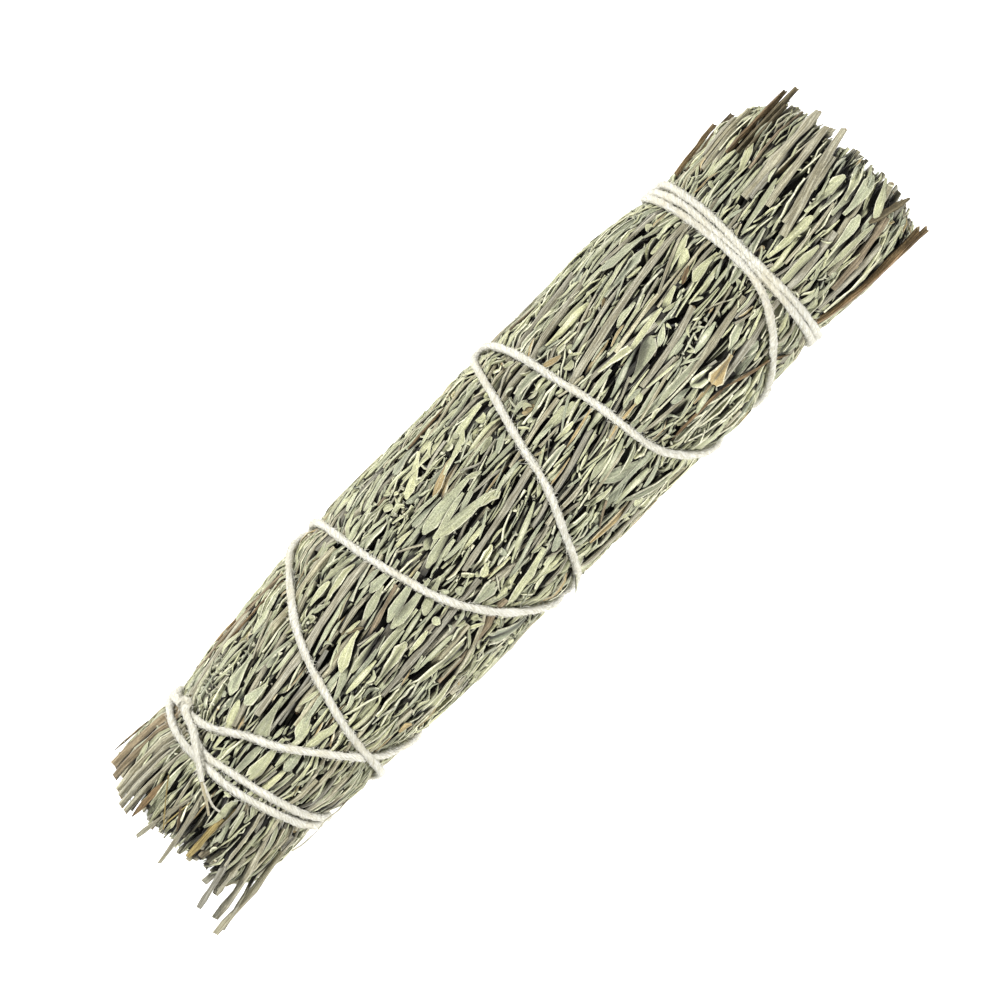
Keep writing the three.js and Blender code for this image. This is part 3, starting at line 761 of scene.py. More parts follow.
class Heap:
    """The laid copies that make up one sprig's mesh."""

    trace: tuple[float, float] = (0.25 * MM, 0.2 * MM)

    def __init__(self, bundle: Bundle, chart: Chart, pinch: Pinch, ground: Ground) -> None:
        """Starts an empty heap."""
        self.bundle = bundle
        self.chart = chart
        self.pinch = pinch
        self.ground = ground
        self.rows: list[np.ndarray] = []
        self.grain: list[np.ndarray] = []
        self.faces: list[tuple[int, ...]] = []
        self.matter: list[int] = []
        self.count = 0

    def land(self, bent: Bent, angle: float, x: float, heading: float, curve: np.ndarray, sink: float) -> Spot:
        """Lets a copy down onto what is already laid.

        Args:
            bent: The copy.
            angle: Its root's angle.
            x: Its root's place along the bundle.
            heading: Its direction, from the bundle's line.
            curve: The smoothing matrix of what its line can follow.
            sink: How far it may press into what it lies on.

        Returns:
            The spot, with the depth of the copy's line at each station.
        """
        along = (STATIONS * bent.length)[:, None]
        side = LANES * bent.half_width
        at_x = x + math.cos(heading) * along - math.sin(heading) * side
        across = math.sin(heading) * along + math.cos(heading) * side
        at_angle = angle + across / self.chart.rate(angle)
        under = self.ground.depth[self.ground.cells(at_angle, at_x)].min(axis=1)
        line = curve @ under
        line -= max(0.0, float((line - under).max()) - sink)
        return Spot(angle, x, heading, line - bent.fall)

    def lay(self, bent: Bent, manner: Manner, spot: Spot) -> None:
        """Adds a copy where it landed, and raises the ground by it."""
        rate = self.chart.rate(spot.angle)
        c, s = math.cos(spot.heading), math.sin(spot.heading)
        x = spot.x + c * bent.along - s * bent.across
        angle = spot.angle + (s * bent.along + c * bent.across) / rate
        depth = np.interp(bent.share, STATIONS, spot.depths) - bent.height
        if not spot.free:
            depth = np.where(depth < 0, 0.5 * depth, depth)
        self._keep(angle, x, depth, bent, manner)
        u = np.linspace(0.02, 0.98, max(3, int(bent.length / self.trace[0])))[:, None]
        v = np.linspace(-0.95, 0.95, max(3, int(bent.half_width * 2 / self.trace[1])))[None, :]
        rounded = np.sqrt(4 * u * (1 - u)) ** 0.5
        sway = manner.sweep * (u * u - u) + manner.hook * u**4 + v * bent.half_width * rounded
        top = np.interp(u, STATIONS, spot.depths) - bent.rise * np.sqrt(1 - v * v * 0.9)
        ground_x = spot.x + c * u * bent.length - s * sway
        ground_angle = spot.angle + (s * u * bent.length + c * sway) / rate
        self.ground.raise_to(ground_angle, ground_x, top)

    def _keep(self, angle: np.ndarray, x: np.ndarray, depth: np.ndarray, bent: Bent, manner: Manner) -> None:
        """Stores a copy's places, its grain and its tint."""
        form = bent.form
        n = len(x)
        tint = np.full(n, manner.tint)
        self.rows.append(np.stack([angle, x, depth, form.rim, tint], axis=-1))
        seed = np.full(n, manner.phase * 0.37)
        self.grain.append(np.stack([bent.along, form.across, seed], axis=-1))
        self.faces.extend(tuple(i + self.count for i in face) for face in form.faces)
        self.matter.extend(form.matter)
        self.count += n

    def add_block(self, angle: np.ndarray, x: np.ndarray, depth: np.ndarray, faces: list[tuple[int, ...]]) -> None:
        """Adds a packed core that the copies stand on."""
        n = len(x)
        self.rows.append(np.stack([angle, x, depth, np.zeros(n), np.full(n, 0.4)], axis=-1))
        self.grain.append(np.stack([x, depth + angle * 20 * MM, np.full(n, 3.3)], axis=-1))
        self.faces.extend(tuple(i + self.count for i in face) for face in faces)
        self.matter.extend([Matter.STEM.value] * len(faces))
        self.count += n

    def piece(self, name: str, materials: list[bpy.types.Material]) -> bpy.types.Object:
        """Makes the heap one mesh, with the painted shade between its pieces.

        Args:
            name: The piece's name.
            materials: One for each kind of matter, in order.

        Returns:
            The new object.
        """
        angle, x, depth, rim, tint = np.concatenate(self.rows).T
        # Painted shade: points that lie deep among the pieces are darkened, less so near the cut ends, so that the
        # tips that stand out stay light.
        gap = self.ground.gap(angle, x, depth)
        inside = np.minimum(x - self.bundle.reach(angle, -1), self.bundle.reach(angle, 1) - x)
        gap = gap * np.clip((inside + 2 * MM) / (5 * MM), 0, 1)
        points = self.bundle.place(angle, x, depth + self.pinch.press(angle, x))
        mesh = bpy.data.meshes.new(name)
        mesh.from_pydata(points, [], self.faces)
        for material in materials:
            mesh.materials.append(material)
        mesh.polygons.foreach_set("material_index", np.array(self.matter, dtype=np.int32))
        write_vectors(mesh, "grain", np.concatenate(self.grain))
        # Each point's tint, place across the piece, and painted shade.
        write_vectors(mesh, "tone_and_shade", np.stack([tint, rim, gap], axis=-1))
        mesh.polygons.foreach_set("use_smooth", np.ones(len(mesh.polygons), dtype=bool))
        mesh.update()
        mesh.set_sharp_from_angle(angle=math.radians(50))
        return new_object(name, mesh)


# Sprigs


@dataclass(frozen=True)
class Habit:
    """How one kind of piece varies from copy to copy, as ranges or as means and spreads."""

    forms: tuple[str, ...]
    stretch: tuple[float, float] = (0.7, 1.25)
    widen: tuple[float, float] = (0.75, 1.2)
    lean: float = 0.15
    furl: tuple[float, float] = (0.0, 0.0)
    fold: tuple[float, float] = (0.0, 0.0)
    roll: tuple[float, float] = (0.0, 0.3)
    twist: float = 0.3
    sweep: float = 0.8 * MM
    hook: float = 0.0
    clustered: float = 0.0
    bow: tuple[float, float] = (-0.1 * MM, 0.3 * MM)
    crinkle: tuple[float, float] = (0.0, 0.0)
    sink: float = 0.3 * MM
    stiff: bool = False
    bulging: bool = False

    def manner(self, draw: np.random.Generator) -> Manner:
        """Draws one copy's manner."""
        return Manner(
            stretch=draw.uniform(*self.stretch),
            widen=draw.uniform(*self.widen),
            furl=draw.normal(*self.furl),
            fold=draw.normal(*self.fold),
            roll=draw.normal(*self.roll),
            twist=draw.normal(0, self.twist),
            sweep=draw.normal(0, self.sweep),
            hook=draw.normal(0, self.hook),
            bow=draw.uniform(*self.bow),
            crinkle=draw.uniform(*self.crinkle),
            tint=draw.random(),
            phase=draw.uniform(0, TURN),
        )


WRINKLED = (0.05 * MM, 0.22 * MM)
STEMS = Habit(
    ("stem", "stem", "knotty_stem"), (0.45, 1.25), (0.52, 1.0), 0.09, roll=(0, 1), sweep=1.2 * MM, stiff=True
)
SHORT_STEMS = Habit(
    ("stem",), (0.3, 0.6), (0.55, 0.95), 0.1, roll=(0, 1), sweep=0.8 * MM, sink=0.45 * MM, stiff=True
)
END_STEMS = Habit(
    ("stem", "knotty_stem"), (0.4, 0.8), (0.38, 0.85), 0.1, roll=(0, 1), sweep=1.0 * MM, stiff=True
)
SLIVERS = Habit(("thin_rolled_leaf", "twig", "lance_leaf"), (0.25, 0.5), (0.5, 0.9), 0.3, sweep=0.5 * MM)
SHREDS = Habit(("shred",), (0.4, 1.6), (0.5, 1.2), 0.2, sweep=0.5 * MM, roll=(0, 1), sink=0.2 * MM)
TWIGS = Habit(("twig",), (0.5, 1.4), (0.6, 1.15), 0.17, roll=(0, 1), stiff=True)
ROLLED = Habit(("rolled_leaf", "thin_rolled_leaf"), (0.5, 1.2), (0.65, 1.3), 0.16, twist=0.8, crinkle=WRINKLED)
DOMED = Habit(("spoon_leaf", "long_spoon_leaf"), (0.55, 1.1), (0.55, 1.0), 0.17, (-0.8, 0.25), crinkle=WRINKLED)
CUPPED = Habit(("long_spoon_leaf", "spoon_leaf"), (0.55, 1.1), (0.55, 1.0), 0.18, (1.1, 0.4), crinkle=WRINKLED)
FOLDED = Habit(("narrow_leaf", "lance_leaf"), (0.5, 1.2), (0.7, 1.2), 0.16, (0, 0), (1.3, 0.7), crinkle=WRINKLED)
RIDGED = Habit(("narrow_leaf", "lance_leaf"), (0.5, 1.2), (0.7, 1.2), 0.16, (0, 0), (-1.0, 0.4), crinkle=WRINKLED)
ON_EDGE = Habit(
    ("narrow_leaf", "lance_leaf"), (0.5, 1.2), (0.6, 1.0), 0.15,
    roll=(1.25, 0.25), hook=1.2 * MM, crinkle=WRINKLED, sink=0.8 * MM,
)
CURVED_EDGE = Habit(
    ("long_spoon_leaf", "narrow_leaf"), (1.0, 1.7), (0.7, 1.05), 0.08, (0.3, 0.3),
    roll=(1.1, 0.3), sweep=3.0 * MM, hook=0.6 * MM, crinkle=WRINKLED, sink=1.2 * MM, bulging=True,
)
BROAD = Habit(
    ("spoon_leaf", "blunt_leaf", "toothed_leaf", "spoon_leaf"), (0.7, 1.1), (0.7, 1.1), 0.2, (-0.25, 0.16),
    crinkle=WRINKLED,
)
TOOTHED = Habit(("toothed_leaf", "blunt_leaf"), (0.7, 1.1), (0.5, 0.9), 0.22, (0.3, 0.5), crinkle=WRINKLED)
CURLS = Habit(("curl", "scrap"), (0.5, 1.2), (0.7, 1.4), 0.8, roll=(0, 1), sweep=1.6 * MM, clustered=0.6)
CRUMBS = Habit(("crumb",), (0.35, 1.1), (0.3, 0.9), 3.0, roll=(0, 1), sweep=0.0, clustered=0.5)
WISPS = Habit(("wisp",), (0.5, 1.3), (0.7, 1.2), 0.35, sweep=1.6 * MM, hook=1.0 * MM)


@dataclass(frozen=True)
class Layer:
    """One round of laying: how many copies of each habit every outer sprig gets."""

    mix: tuple[tuple[Habit, int], ...]
    tries: int = 5
    proud: float = 0.5 * MM


LAYERS = (
    Layer(((STEMS, 12),), tries=6, proud=0.0),
    Layer(((ROLLED, 50), (FOLDED, 26), (RIDGED, 20), (TWIGS, 10)), tries=8, proud=0.0),
    Layer(
        (
            (STEMS, 17),
            (DOMED, 24),
            (CUPPED, 18),
            (ROLLED, 62),
            (FOLDED, 24),
            (RIDGED, 26),
            (ON_EDGE, 34),
            (TWIGS, 20),
            (TOOTHED, 4),
            (CURLS, 30),
        ),
        tries=9,
    ),
    Layer(
        (
            (STEMS, 14),
            (SHORT_STEMS, 12),
            (DOMED, 16),
            (CUPPED, 10),
            (ROLLED, 38),
            (RIDGED, 16),
            (ON_EDGE, 26),
            (TWIGS, 18),
            (TOOTHED, 3),
            (CURLS, 16),
        ),
        tries=7,
        proud=0.7 * MM,
    ),
    Layer(((SHREDS, 290), (SLIVERS, 80), (CURLS, 44), (CRUMBS, 80), (WISPS, 3)), tries=14),
)


@dataclass(frozen=True)
class Hollow:
    """A patch of the upper side that the laid copies leave open, in millimetres."""

    x: float
    y: float
    half_length: float
    half_width: float

    def holds(self, x: np.ndarray, y: np.ndarray) -> bool:
        """Whether any of the points lies in the patch."""
        along = (x - self.x * MM) / (self.half_length * MM)
        across = (y - self.y * MM) / (self.half_width * MM)
        away = along**2 + across**2
        return bool(np.any(away < 1))


HOLLOWS = (
    Hollow(-90.4, -3.2, 3.6, 1.5),
    Hollow(-91.5, 5.8, 3, 0.6),
    Hollow(47.8, -9.9, 4.4, 0.7),
    Hollow(42, -17.8, 7, 1.9),
    Hollow(82, 3, 3, 0.7),
    Hollow(87, -12, 4, 0.7),
    Hollow(-33, -4, 4, 0.6),
)


@dataclass(frozen=True)
class Zone:
    """A patch of the upper side where one habit shows most, in millimetres."""

    habit: Habit
    count: int
    x: float
    y: float
    spread: tuple[float, float]
    towards_far: float


ZONES = (
    Zone(BROAD, 16, -37, -4, (7, 6), 0.05),
    Zone(BROAD, 9, 86, -7, (5, 7), 0.9),
    Zone(BROAD, 6, -60, 3, (6, 7), 0.1),
    Zone(BROAD, 7, 50, 0, (9, 6), 0.4),
    Zone(CURVED_EDGE, 42, 42, -17, (6.5, 3.4), 0.2),
    Zone(CURVED_EDGE, 14, 84, -13, (7, 6), 0.8),
    Zone(CURVED_EDGE, 16, -42, -16, (14, 4), 0.4),
    Zone(CURLS, 60, 14, 13, (5, 4), 0.5),
    Zone(CURLS, 40, -78, 2, (3, 4), 0.5),
    Zone(CURLS, 90, -71, 17, (4, 2.5), 0.5),
    Zone(CRUMBS, 160, -72, 17.5, (5, 2.5), 0.5),
    Zone(CURLS, 40, 68, -16, (5, 4), 0.5),
    Zone(CURLS, 40, -24, -13, (6, 4), 0.5),
)


@dataclass(frozen=True)
class Feature:
    """One piece laid from a place to a place on the upper side, as the photograph shows it.

    Its places along and across the stick, its depths at both ends and its sweep are in millimetres.
    """

    form: str
    start: tuple[float, float]
    end: tuple[float, float]
    widen: float
    depths: tuple[float, float]
    sweep: float
    tint: float
    furl: float = 0.0
    roll: float = 0.0
    twist: float = 0.0


# Form, start, end, widening, depths, sweep and tint, then furl, roll and twist where there are any
FEATURES = (
    ("knotty_stem", (-88, -11.5), (-104, -14.7), 0.55, (1.6, -0.6), 0.6, 0.1),
    ("knotty_stem", (-80, -13.5), (-103.4, -18.6), 0.68, (0.8, -0.4), 0.8, 0.2),
    ("knotty_stem", (-84, -19.4), (-105.6, -20.9), 0.5, (0.6, -0.4), 1.2, 0.7),
    ("twig", (-90, -18.8), (-103.6, -22), 0.95, (1, 0), -1, 0.3),
    ("knotty_stem", (-90, -14.5), (-99.6, -15.2), 0.7, (0.4, -0.2), -1, 0.5),
    ("stem", (-87, 0.4), (-103, -3.4), 0.75, (0.8, 0.2), 0.4, 0.6),
    ("knotty_stem", (-87.5, 1.2), (-102.4, 4.7), 0.7, (0.6, 0.3), -0.5, 0.8),
    ("stem", (-76, 17.4), (-95.9, 17.3), 1.25, (0.6, 0.1), 0.6, 0.995),
    ("stem", (-80, 14.2), (-98.7, 13.1), 0.95, (0.7, 0.2), 0, 0.5),
    ("stem", (-83, 11.4), (-100.4, 10.6), 0.8, (0.7, 0.2), 0, 0.1),
    ("bark_strip", (-84.5, 18.9), (-93.6, 19.2), 0.3, (0.1, -0.3), 0, 0.1),
    ("bark_strip", (-90, 7.6), (-100, 7.4), 0.85, (0, -0.1), 0, 0.6),
    ("straw", (-88.9, 7.8), (-97.4, 1.7), 0.2, (-0.6, -0.6), 0.6, 0.3),
    ("straw", (-87.5, -5.6), (-98, -6.2), 1.2, (0.5, 0.2), 0, 0.4),
    ("twig", (-81.5, -10.5), (-93.9, -12.6), 0.75, (-0.6, -0.2), 0, 0.2),
    ("long_spoon_leaf", (-57.5, -1.2), (-65.7, -6.1), 1.3, (0.3, -0.2), 0, 0.1, -0.3),
    ("spoon_leaf", (-62, 7), (-68.2, 7.3), 1, (0.2, -0.1), 0, 0.2, -0.2),
    ("long_spoon_leaf", (-4.7, 7.6), (-18.9, 6), 1.2, (0.3, -0.1), -0.8, 0.3, -0.4),
    ("long_spoon_leaf", (-2.7, 2.4), (-18.2, 4), 1.1, (0.4, 0), 1, 0.5, -0.4),
    ("straw", (-84.2, -6.6), (-95, -6.4), 0.3, (0.9, 0.5), 0, 0.4),
    ("bark_strip", (-90.8, 2.6), (-95.8, -0.4), 0.35, (0.2, 0), 1.4, 0.3),
    ("straw", (-88.5, 1), (-97, 1.8), 0.25, (0.2, 0.1), 0, 0.6),
    ("bark_strip", (-71, 19.4), (-52, 20.2), 0.5, (0.2, 0.1), 0.6, 0.5),
    ("bark_strip", (-64, 18.6), (-45, 19.7), 0.35, (0.2, 0.1), 0.4, 0.4),
    ("stem", (-70, 18.9), (-44, 20.4), 0.7, (0.5, 0.3), 0, 0.995),
    ("bark_strip", (-9, 20.3), (2.5, 20.9), 0.4, (0.2, 0), 0.5, 0.6),
    ("bark_strip", (53, 4.5), (56.5, 6.2), 0.5, (0.1, 0), 0, 0.7),
    ("narrow_leaf", (50.8, -19.4), (31.7, -19), 1, (0.9, 0.7), 6, 0.2, 0, 1.3),
    ("narrow_leaf", (41.6, -17.4), (34.7, -16), 1, (0.8, 0.6), 1.5, 0.4, 0, 1.2),
    ("lance_leaf", (44.6, -18.8), (33.9, -18), 1.1, (0.9, 0.8), 2.5, 0.5, 0, 1.35),
    ("narrow_leaf", (48.2, -17.2), (38.3, -15.9), 0.9, (0.8, 0.6), 2, 0.6, 0, 1.3),
    ("lance_leaf", (47, -20.6), (36, -20.4), 1.1, (0.8, 0.7), 2.5, 0.3, 0, 1.25),
    ("narrow_leaf", (44, -22.9), (35.1, -21.4), 1, (0.5, 0.6), 1.5, 0.8, 0, 1.2),
    ("long_spoon_leaf", (30.5, -22), (14.5, -17.9), 1, (0.4, 0.2), 1, 0.2, 1.1),
    ("long_spoon_leaf", (25, -15.9), (13.5, -11.8), 1.2, (0.4, 0), 1.6, 0.4, -0.4),
    ("spoon_leaf", (47.5, -12.6), (39.8, -11.2), 1.2, (1, 0.4), 0, 0.3, 0.8),
    ("blunt_leaf", (50, -12.5), (43, -13.6), 0.95, (0.2, -0.3), 0, 0.99, 0.25),
    ("bark_strip", (58.7, -20.5), (44, -15.7), 0.34, (-0.4, -0.3), -3, 0.5),
    ("bark_strip", (45.5, -16), (29.5, -16.2), 0.34, (-0.2, 0.2), -2, 0.7),
    ("long_spoon_leaf", (52, -7.4), (26, -8.4), 0.72, (0.5, 0.3), 2.6, 0.3, 0.6),
    ("narrow_leaf", (49, -8.7), (27.5, -9.8), 0.9, (0.6, 0.5), 3, 0.6, 0, 1.1),
    ("lance_leaf", (0.5, -20), (-5.6, -24), 0.9, (0.2, -0.5), -0.8, 0.5, 0, 0.6, 2),
    ("bark_strip", (-44.5, 3.6), (-40.4, 1.4), 0.5, (0.5, 0.4), 0, 0.85),
    # These two dark stems along the lower flank take the dark bark colour partly as painted shade, for stems that
    # lie in shadow there.
    ("dark_stem", (66, -21), (95.2, -21.6), 0.9, (0.6, 0), 0, 0.6),
    ("dark_stem", (78, -21.9), (96.2, -22.4), 0.55, (0.6, -0.2), 0, 0.2),
    ("dark_stem", (79.5, 15.6), (97.6, 15.8), 0.55, (0.5, -0.2), 0.4, 0.95),
    ("dark_stem", (78, 16.9), (95.6, 17), 0.5, (0.5, -0.2), 0, 0.6),
    ("dark_stem", (81, 14.4), (93.4, 15), 0.4, (0.3, 0), 0, 0.9),
    ("dark_stem", (70, 20.2), (85, 21.6), 0.5, (0.6, 0.1), 0, 0.2),
    ("dark_stem", (68, 21.4), (81, 22.6), 0.4, (0.4, 0), 0, 0.5),
    ("stem", (66, 19), (88, 19.6), 0.55, (0.6, 0), 0, 0.7),
    ("knotty_stem", (74, 8.2), (97.2, 9.6), 1, (0.7, 0), 0, 0.3),
    ("stem", (76, 3.6), (96, 6.4), 0.95, (0.6, 0.1), 0.5, 0.5),
    ("stem", (74, -3), (98.2, 2.4), 0.95, (0.5, -0.1), 0.6, 0.6),
    ("bark_strip", (88, -13.5), (97.4, -15.6), 0.9, (0.3, -0.2), 0, 0.8),
    ("straw", (84.5, 9), (90.6, 9.6), 0.4, (0.1, 0), 0, 0.9),
    ("wisp", (-67, -20.2), (-76.5, -21.4), 1.2, (-0.6, -0.8), -1.2, 0.5),
    ("wisp", (-82.5, -20), (-76, -21.3), 1.3, (-0.2, -0.8), -0.8, 0.4),
    ("stem", (-76, 16), (-97.4, 15.4), 0.8, (0.4, 0), 0.5, 0.95),
    ("stem", (-80, 12.6), (-99.2, 12), 0.7, (0.5, 0.1), 0.5, 0.4),
    ("stem", (-82, 9.4), (-100.6, 9.2), 0.7, (0.6, 0.3), 0, 0.6),
)


@dataclass
class SprigPlace:
    """One outer sprig's heap, its place in the ring and its draws."""

    index: int
    heap: Heap
    draw: np.random.Generator
    clusters: list[tuple[float, float]]


class Foliage:
    """All outer sprigs, laid together so that their pieces lie on one another."""

    core_depth: float = 3.4 * MM
    mean_heading: float = -0.14
    end_thinning: float = 0.4
    core_ends: tuple[float, float] = (-92 * MM, 91 * MM)
    core_floor: float = 7.4 * MM
    core_set_back: float = 6 * MM
    thinned_beyond: tuple[float, float] = (-86 * MM, 77 * MM)
    patch_range: tuple[float, float] = (-88 * MM, 86 * MM)
    patch_spread: tuple[float, float] = (0.4, 5 * MM)
    buried_stems: int = 5
    buried_depths: tuple[float, float] = (2.6 * MM, 7.0 * MM)
    end_at: float = 80 * MM
    end_tries: int = 6
    end_proud: float = 0.5 * MM
    zone_tries: int = 5
    zone_proud: float = 0.7 * MM
    widest_feature: float = 0.97
    feature_crinkle: float = 0.08 * MM

    def __init__(self, bundle: Bundle, pinch: Pinch, forms: dict[str, Form]) -> None:
        """Starts a heap for each outer sprig."""
        self.bundle = bundle
        self.chart = Chart(bundle)
        self.pinch = pinch
        self.forms = forms
        self.ground = Ground(self.core_depth)
        self.curves = {True: smoothing(2), False: smoothing(3)}
        self.sprigs = [self._started(i) for i in range(bundle.outer_sprigs)]

    def _started(self, index: int) -> SprigPlace:
        """One sprig before anything is laid, with the middles of its crumbly patches."""
        draw = np.random.default_rng(400 + 17 * index)
        heap = Heap(self.bundle, self.chart, self.pinch, self.ground)
        patches = [(draw.uniform(-1, 1), draw.uniform(*self.patch_range)) for _ in range(4)]
        return SprigPlace(index, heap, draw, patches)

    def build(self) -> None:
        """Lays the cores, the layers and the cut ends."""
        for sprig in self.sprigs:
            self._core(sprig)
        self._lay_layer(LAYERS[0])
        for sprig in self.sprigs:
            self._buried_ends(sprig)
        for layer in LAYERS[1:3]:
            self._lay_layer(layer)
            self._end_stems(3)
        self._lay_layer(LAYERS[3])
        for zone in ZONES:
            self._lay_zone(zone)
        self._end_stems(1)
        for k, row in enumerate(FEATURES):
            self._lay_feature(Feature(*row), k)
        self._lay_layer(LAYERS[4])
        self.ground.settle_levels()

    def _core(self, sprig: SprigPlace) -> None:
        """The packed inside that the stems and leaves are laid over, made dark by the painted shade between the
        pieces.
        """
        bpy.ops.mesh.primitive_grid_add(x_subdivisions=44, y_subdivisions=8, size=1)
        thicken(bpy.context.object, 1.0, -1)
        unit, faces = taken_mesh()
        share = unit[:, 1] * 2
        middle = self._angle(sprig, 0.0, 0.0)
        low = max(self.core_ends[0], self.chart.end(middle, -1) + self.core_set_back)
        high = min(self.core_ends[1], self.chart.end(middle, 1) - self.core_set_back)
        x = low + (unit[:, 0] + 0.5) * (high - low)
        angle = np.array([self._angle(sprig, s, a) for s, a in zip(share, x)])
        ridge = np.sin(share * 9 + np.sin(x * 55 + sprig.index) * 1.2)
        outside = self.core_depth + 0.2 * MM + 0.4 * MM * ridge
        depth = np.where(unit[:, 2] < -0.5, self.core_floor, outside)
        sprig.heap.add_block(angle, x, depth, faces)

    def _angle(self, sprig: SprigPlace, share: float, x: float) -> float:
        """The angle across a sprig's place."""
        return self.bundle.sprig_angle(sprig.index, self.bundle.outer_sprigs, share, x)

    def _lay_layer(self, layer: Layer) -> None:
        """Lays one round over every sprig in turn, in mixed order."""
        order = [habit for habit, count in layer.mix for _ in range(count)]
        turns = [np.random.default_rng(50 + s.index).permutation(len(order)) for s in self.sprigs]
        for k in range(len(order)):
            for sprig, turn in zip(self.sprigs, turns):
                self._lay_one(sprig, order[turn[k]], layer)

    def _lay_one(self, sprig: SprigPlace, habit: Habit, layer: Layer) -> None:
        """Lays one copy in the deepest of a few drawn places."""
        draw = sprig.draw
        form = self.forms[habit.forms[draw.integers(len(habit.forms))]]
        manner = habit.manner(draw)
        bent = bend(form, manner)
        best = max((self._drawn_spot(sprig, habit, bent) for _ in range(layer.tries)), key=Spot.mean_depth)
        middle = best.x + math.cos(best.heading) * bent.length / 2
        over_end = not self.thinned_beyond[0] <= middle <= self.thinned_beyond[1]
        crowded = over_end and not habit.stiff and draw.random() < self.end_thinning
        left_open = layer.proud > 0 and self._in_hollow(bent, best)
        if best.depths.min() - bent.rise > -layer.proud and not crowded and not left_open:
            sprig.heap.lay(bent, manner, best)

    def _drawn_spot(self, sprig: SprigPlace, habit: Habit, bent: Bent) -> Spot:
        """A place for a copy, somewhere on its sprig."""
        draw = sprig.draw
        share = draw.uniform(-1, 1)
        patch = None
        if draw.random() < habit.clustered:
            patch = sprig.clusters[draw.integers(len(sprig.clusters))]
            share = float(np.clip(patch[0] + draw.normal(0, self.patch_spread[0]), -1, 1))
        middle = self._angle(sprig, share, 0.0)
        overhang = min(1.5 * MM, 0.12 * bent.length)
        low = self.chart.end(middle, -1) - overhang
        high = self.chart.end(middle, 1) + overhang
        start = draw.uniform(low, high - bent.length)
        if patch is not None:
            near_patch = patch[1] + draw.normal(0, self.patch_spread[1])
            start = float(np.clip(near_patch, low, high - bent.length))
        towards_far = draw.random() < 0.36 + 0.36 * np.clip((start - 20 * MM) / (40 * MM), 0, 1)
        heading = self.mean_heading + draw.normal(0, habit.lean)
        x = start if towards_far else start + bent.length
        heading += 0.0 if towards_far else math.pi
        angle = self._angle(sprig, share, start + bent.length / 2)
        angle -= math.sin(heading) * bent.length / 2 / self.chart.rate(angle)
        return sprig.heap.land(bent, angle, x, heading, self.curves[habit.stiff], habit.sink)

    def _buried_ends(self, sprig: SprigPlace) -> None:
        """Stems under the surface whose cut ends show at both ends of the bundle."""
        draw = sprig.draw
        for outwards in (-1, 1):
            for _ in range(self.buried_stems):
                manner = END_STEMS.manner(draw)
                bent = bend(self.forms["stem"], manner)
                angle = self._angle(sprig, draw.uniform(-0.95, 0.95), outwards * self.end_at)
                heading = draw.normal(0, 0.05) + (0.0 if outwards > 0 else math.pi)
                reach = self.chart.end(angle, outwards) + outwards * draw.uniform(-3 * MM, 1.5 * MM)
                depths = np.full(len(STATIONS), draw.uniform(*self.buried_depths))
                sprig.heap.lay(bent, manner, Spot(angle, reach - outwards * bent.length, heading, depths))

    def _end_stems(self, count: int) -> None:
        """Stems that lie on the surface and end at the bundle's ends."""
        for outwards in (-1, 1):
            for _ in range(count):
                for sprig in self.sprigs:
                    self._end_stem(sprig, outwards)

    def _end_stem(self, sprig: SprigPlace, outwards: int) -> None:
        """Lays one stem that ends at the bundle's end."""
        draw = sprig.draw
        manner = END_STEMS.manner(draw)
        bent = bend(self.forms[END_STEMS.forms[draw.integers(2)]], manner)
        spots = []
        for _ in range(self.end_tries):
            angle = self._angle(sprig, draw.uniform(-1, 1), outwards * self.end_at)
            heading = draw.normal(self.mean_heading, END_STEMS.lean) + (0.0 if outwards > 0 else math.pi)
            reach = self.chart.end(angle, outwards) + outwards * draw.triangular(-4 * MM, 0.0, 3 * MM)
            root = angle - math.sin(heading) * bent.length / self.chart.rate(angle)
            start = reach - outwards * bent.length
            spots.append(sprig.heap.land(bent, root, start, heading, self.curves[True], END_STEMS.sink))
        best = max(spots, key=Spot.mean_depth)
        if best.depths.min() - bent.rise > -self.end_proud and not self._in_hollow(bent, best):
            sprig.heap.lay(bent, manner, best)

    def _in_hollow(self, bent: Bent, spot: Spot) -> bool:
        """Whether a copy's line crosses a patch that stays open."""
        x = spot.x + math.cos(spot.heading) * bent.length * STATIONS
        angle = spot.angle + math.sin(spot.heading) * bent.length * STATIONS / self.chart.rate(spot.angle)
        above = np.sin(angle) > 0
        sides = self.bundle.side_place(angle, x)
        return any(hollow.holds(x[above], sides[above]) for hollow in HOLLOWS)

    def _heap_at(self, angle: float) -> SprigPlace:
        """The sprig whose place holds an angle."""
        count = self.bundle.outer_sprigs
        return self.sprigs[int(angle / TURN * count) % count]

    def _lay_zone(self, zone: Zone) -> None:
        """Lays one zone's copies, each in the deepest of a few drawn places."""
        zone_x, zone_y = zone.x * MM, zone.y * MM
        draw = np.random.default_rng(int(abs(zone_x) / MM * 10 + abs(zone_y) / MM))
        habit = zone.habit
        for _ in range(zone.count):
            manner = habit.manner(draw)
            far = draw.random() < zone.towards_far
            if habit.bulging:
                manner.sweep = math.copysign(manner.sweep, zone_y if far else -zone_y)
            bent = bend(self.forms[habit.forms[draw.integers(len(habit.forms))]], manner)
            best = None
            for _ in range(self.zone_tries):
                x = zone_x + draw.normal(0, zone.spread[0] * MM)
                y = zone_y + draw.normal(0, zone.spread[1] * MM)
                lean = 0.0 if habit.bulging else self.mean_heading
                heading = draw.normal(lean, habit.lean) + (0.0 if far else math.pi)
                x = min(x, self.chart.end(math.pi / 2, 1) - bent.length / 2)
                middle = self.bundle.angle_over(y, x)
                root = middle - math.sin(heading) * bent.length / 2 / self.chart.rate(middle)
                start = x - math.cos(heading) * bent.length / 2
                heap = self._heap_at(middle).heap
                spot = heap.land(bent, root, start, heading, self.curves[habit.stiff], habit.sink)
                if best is None or spot.depths.mean() > best[0].depths.mean():
                    best = (spot, heap)
            if best[0].depths.min() - bent.rise > -self.zone_proud:
                best[1].lay(bent, manner, best[0])

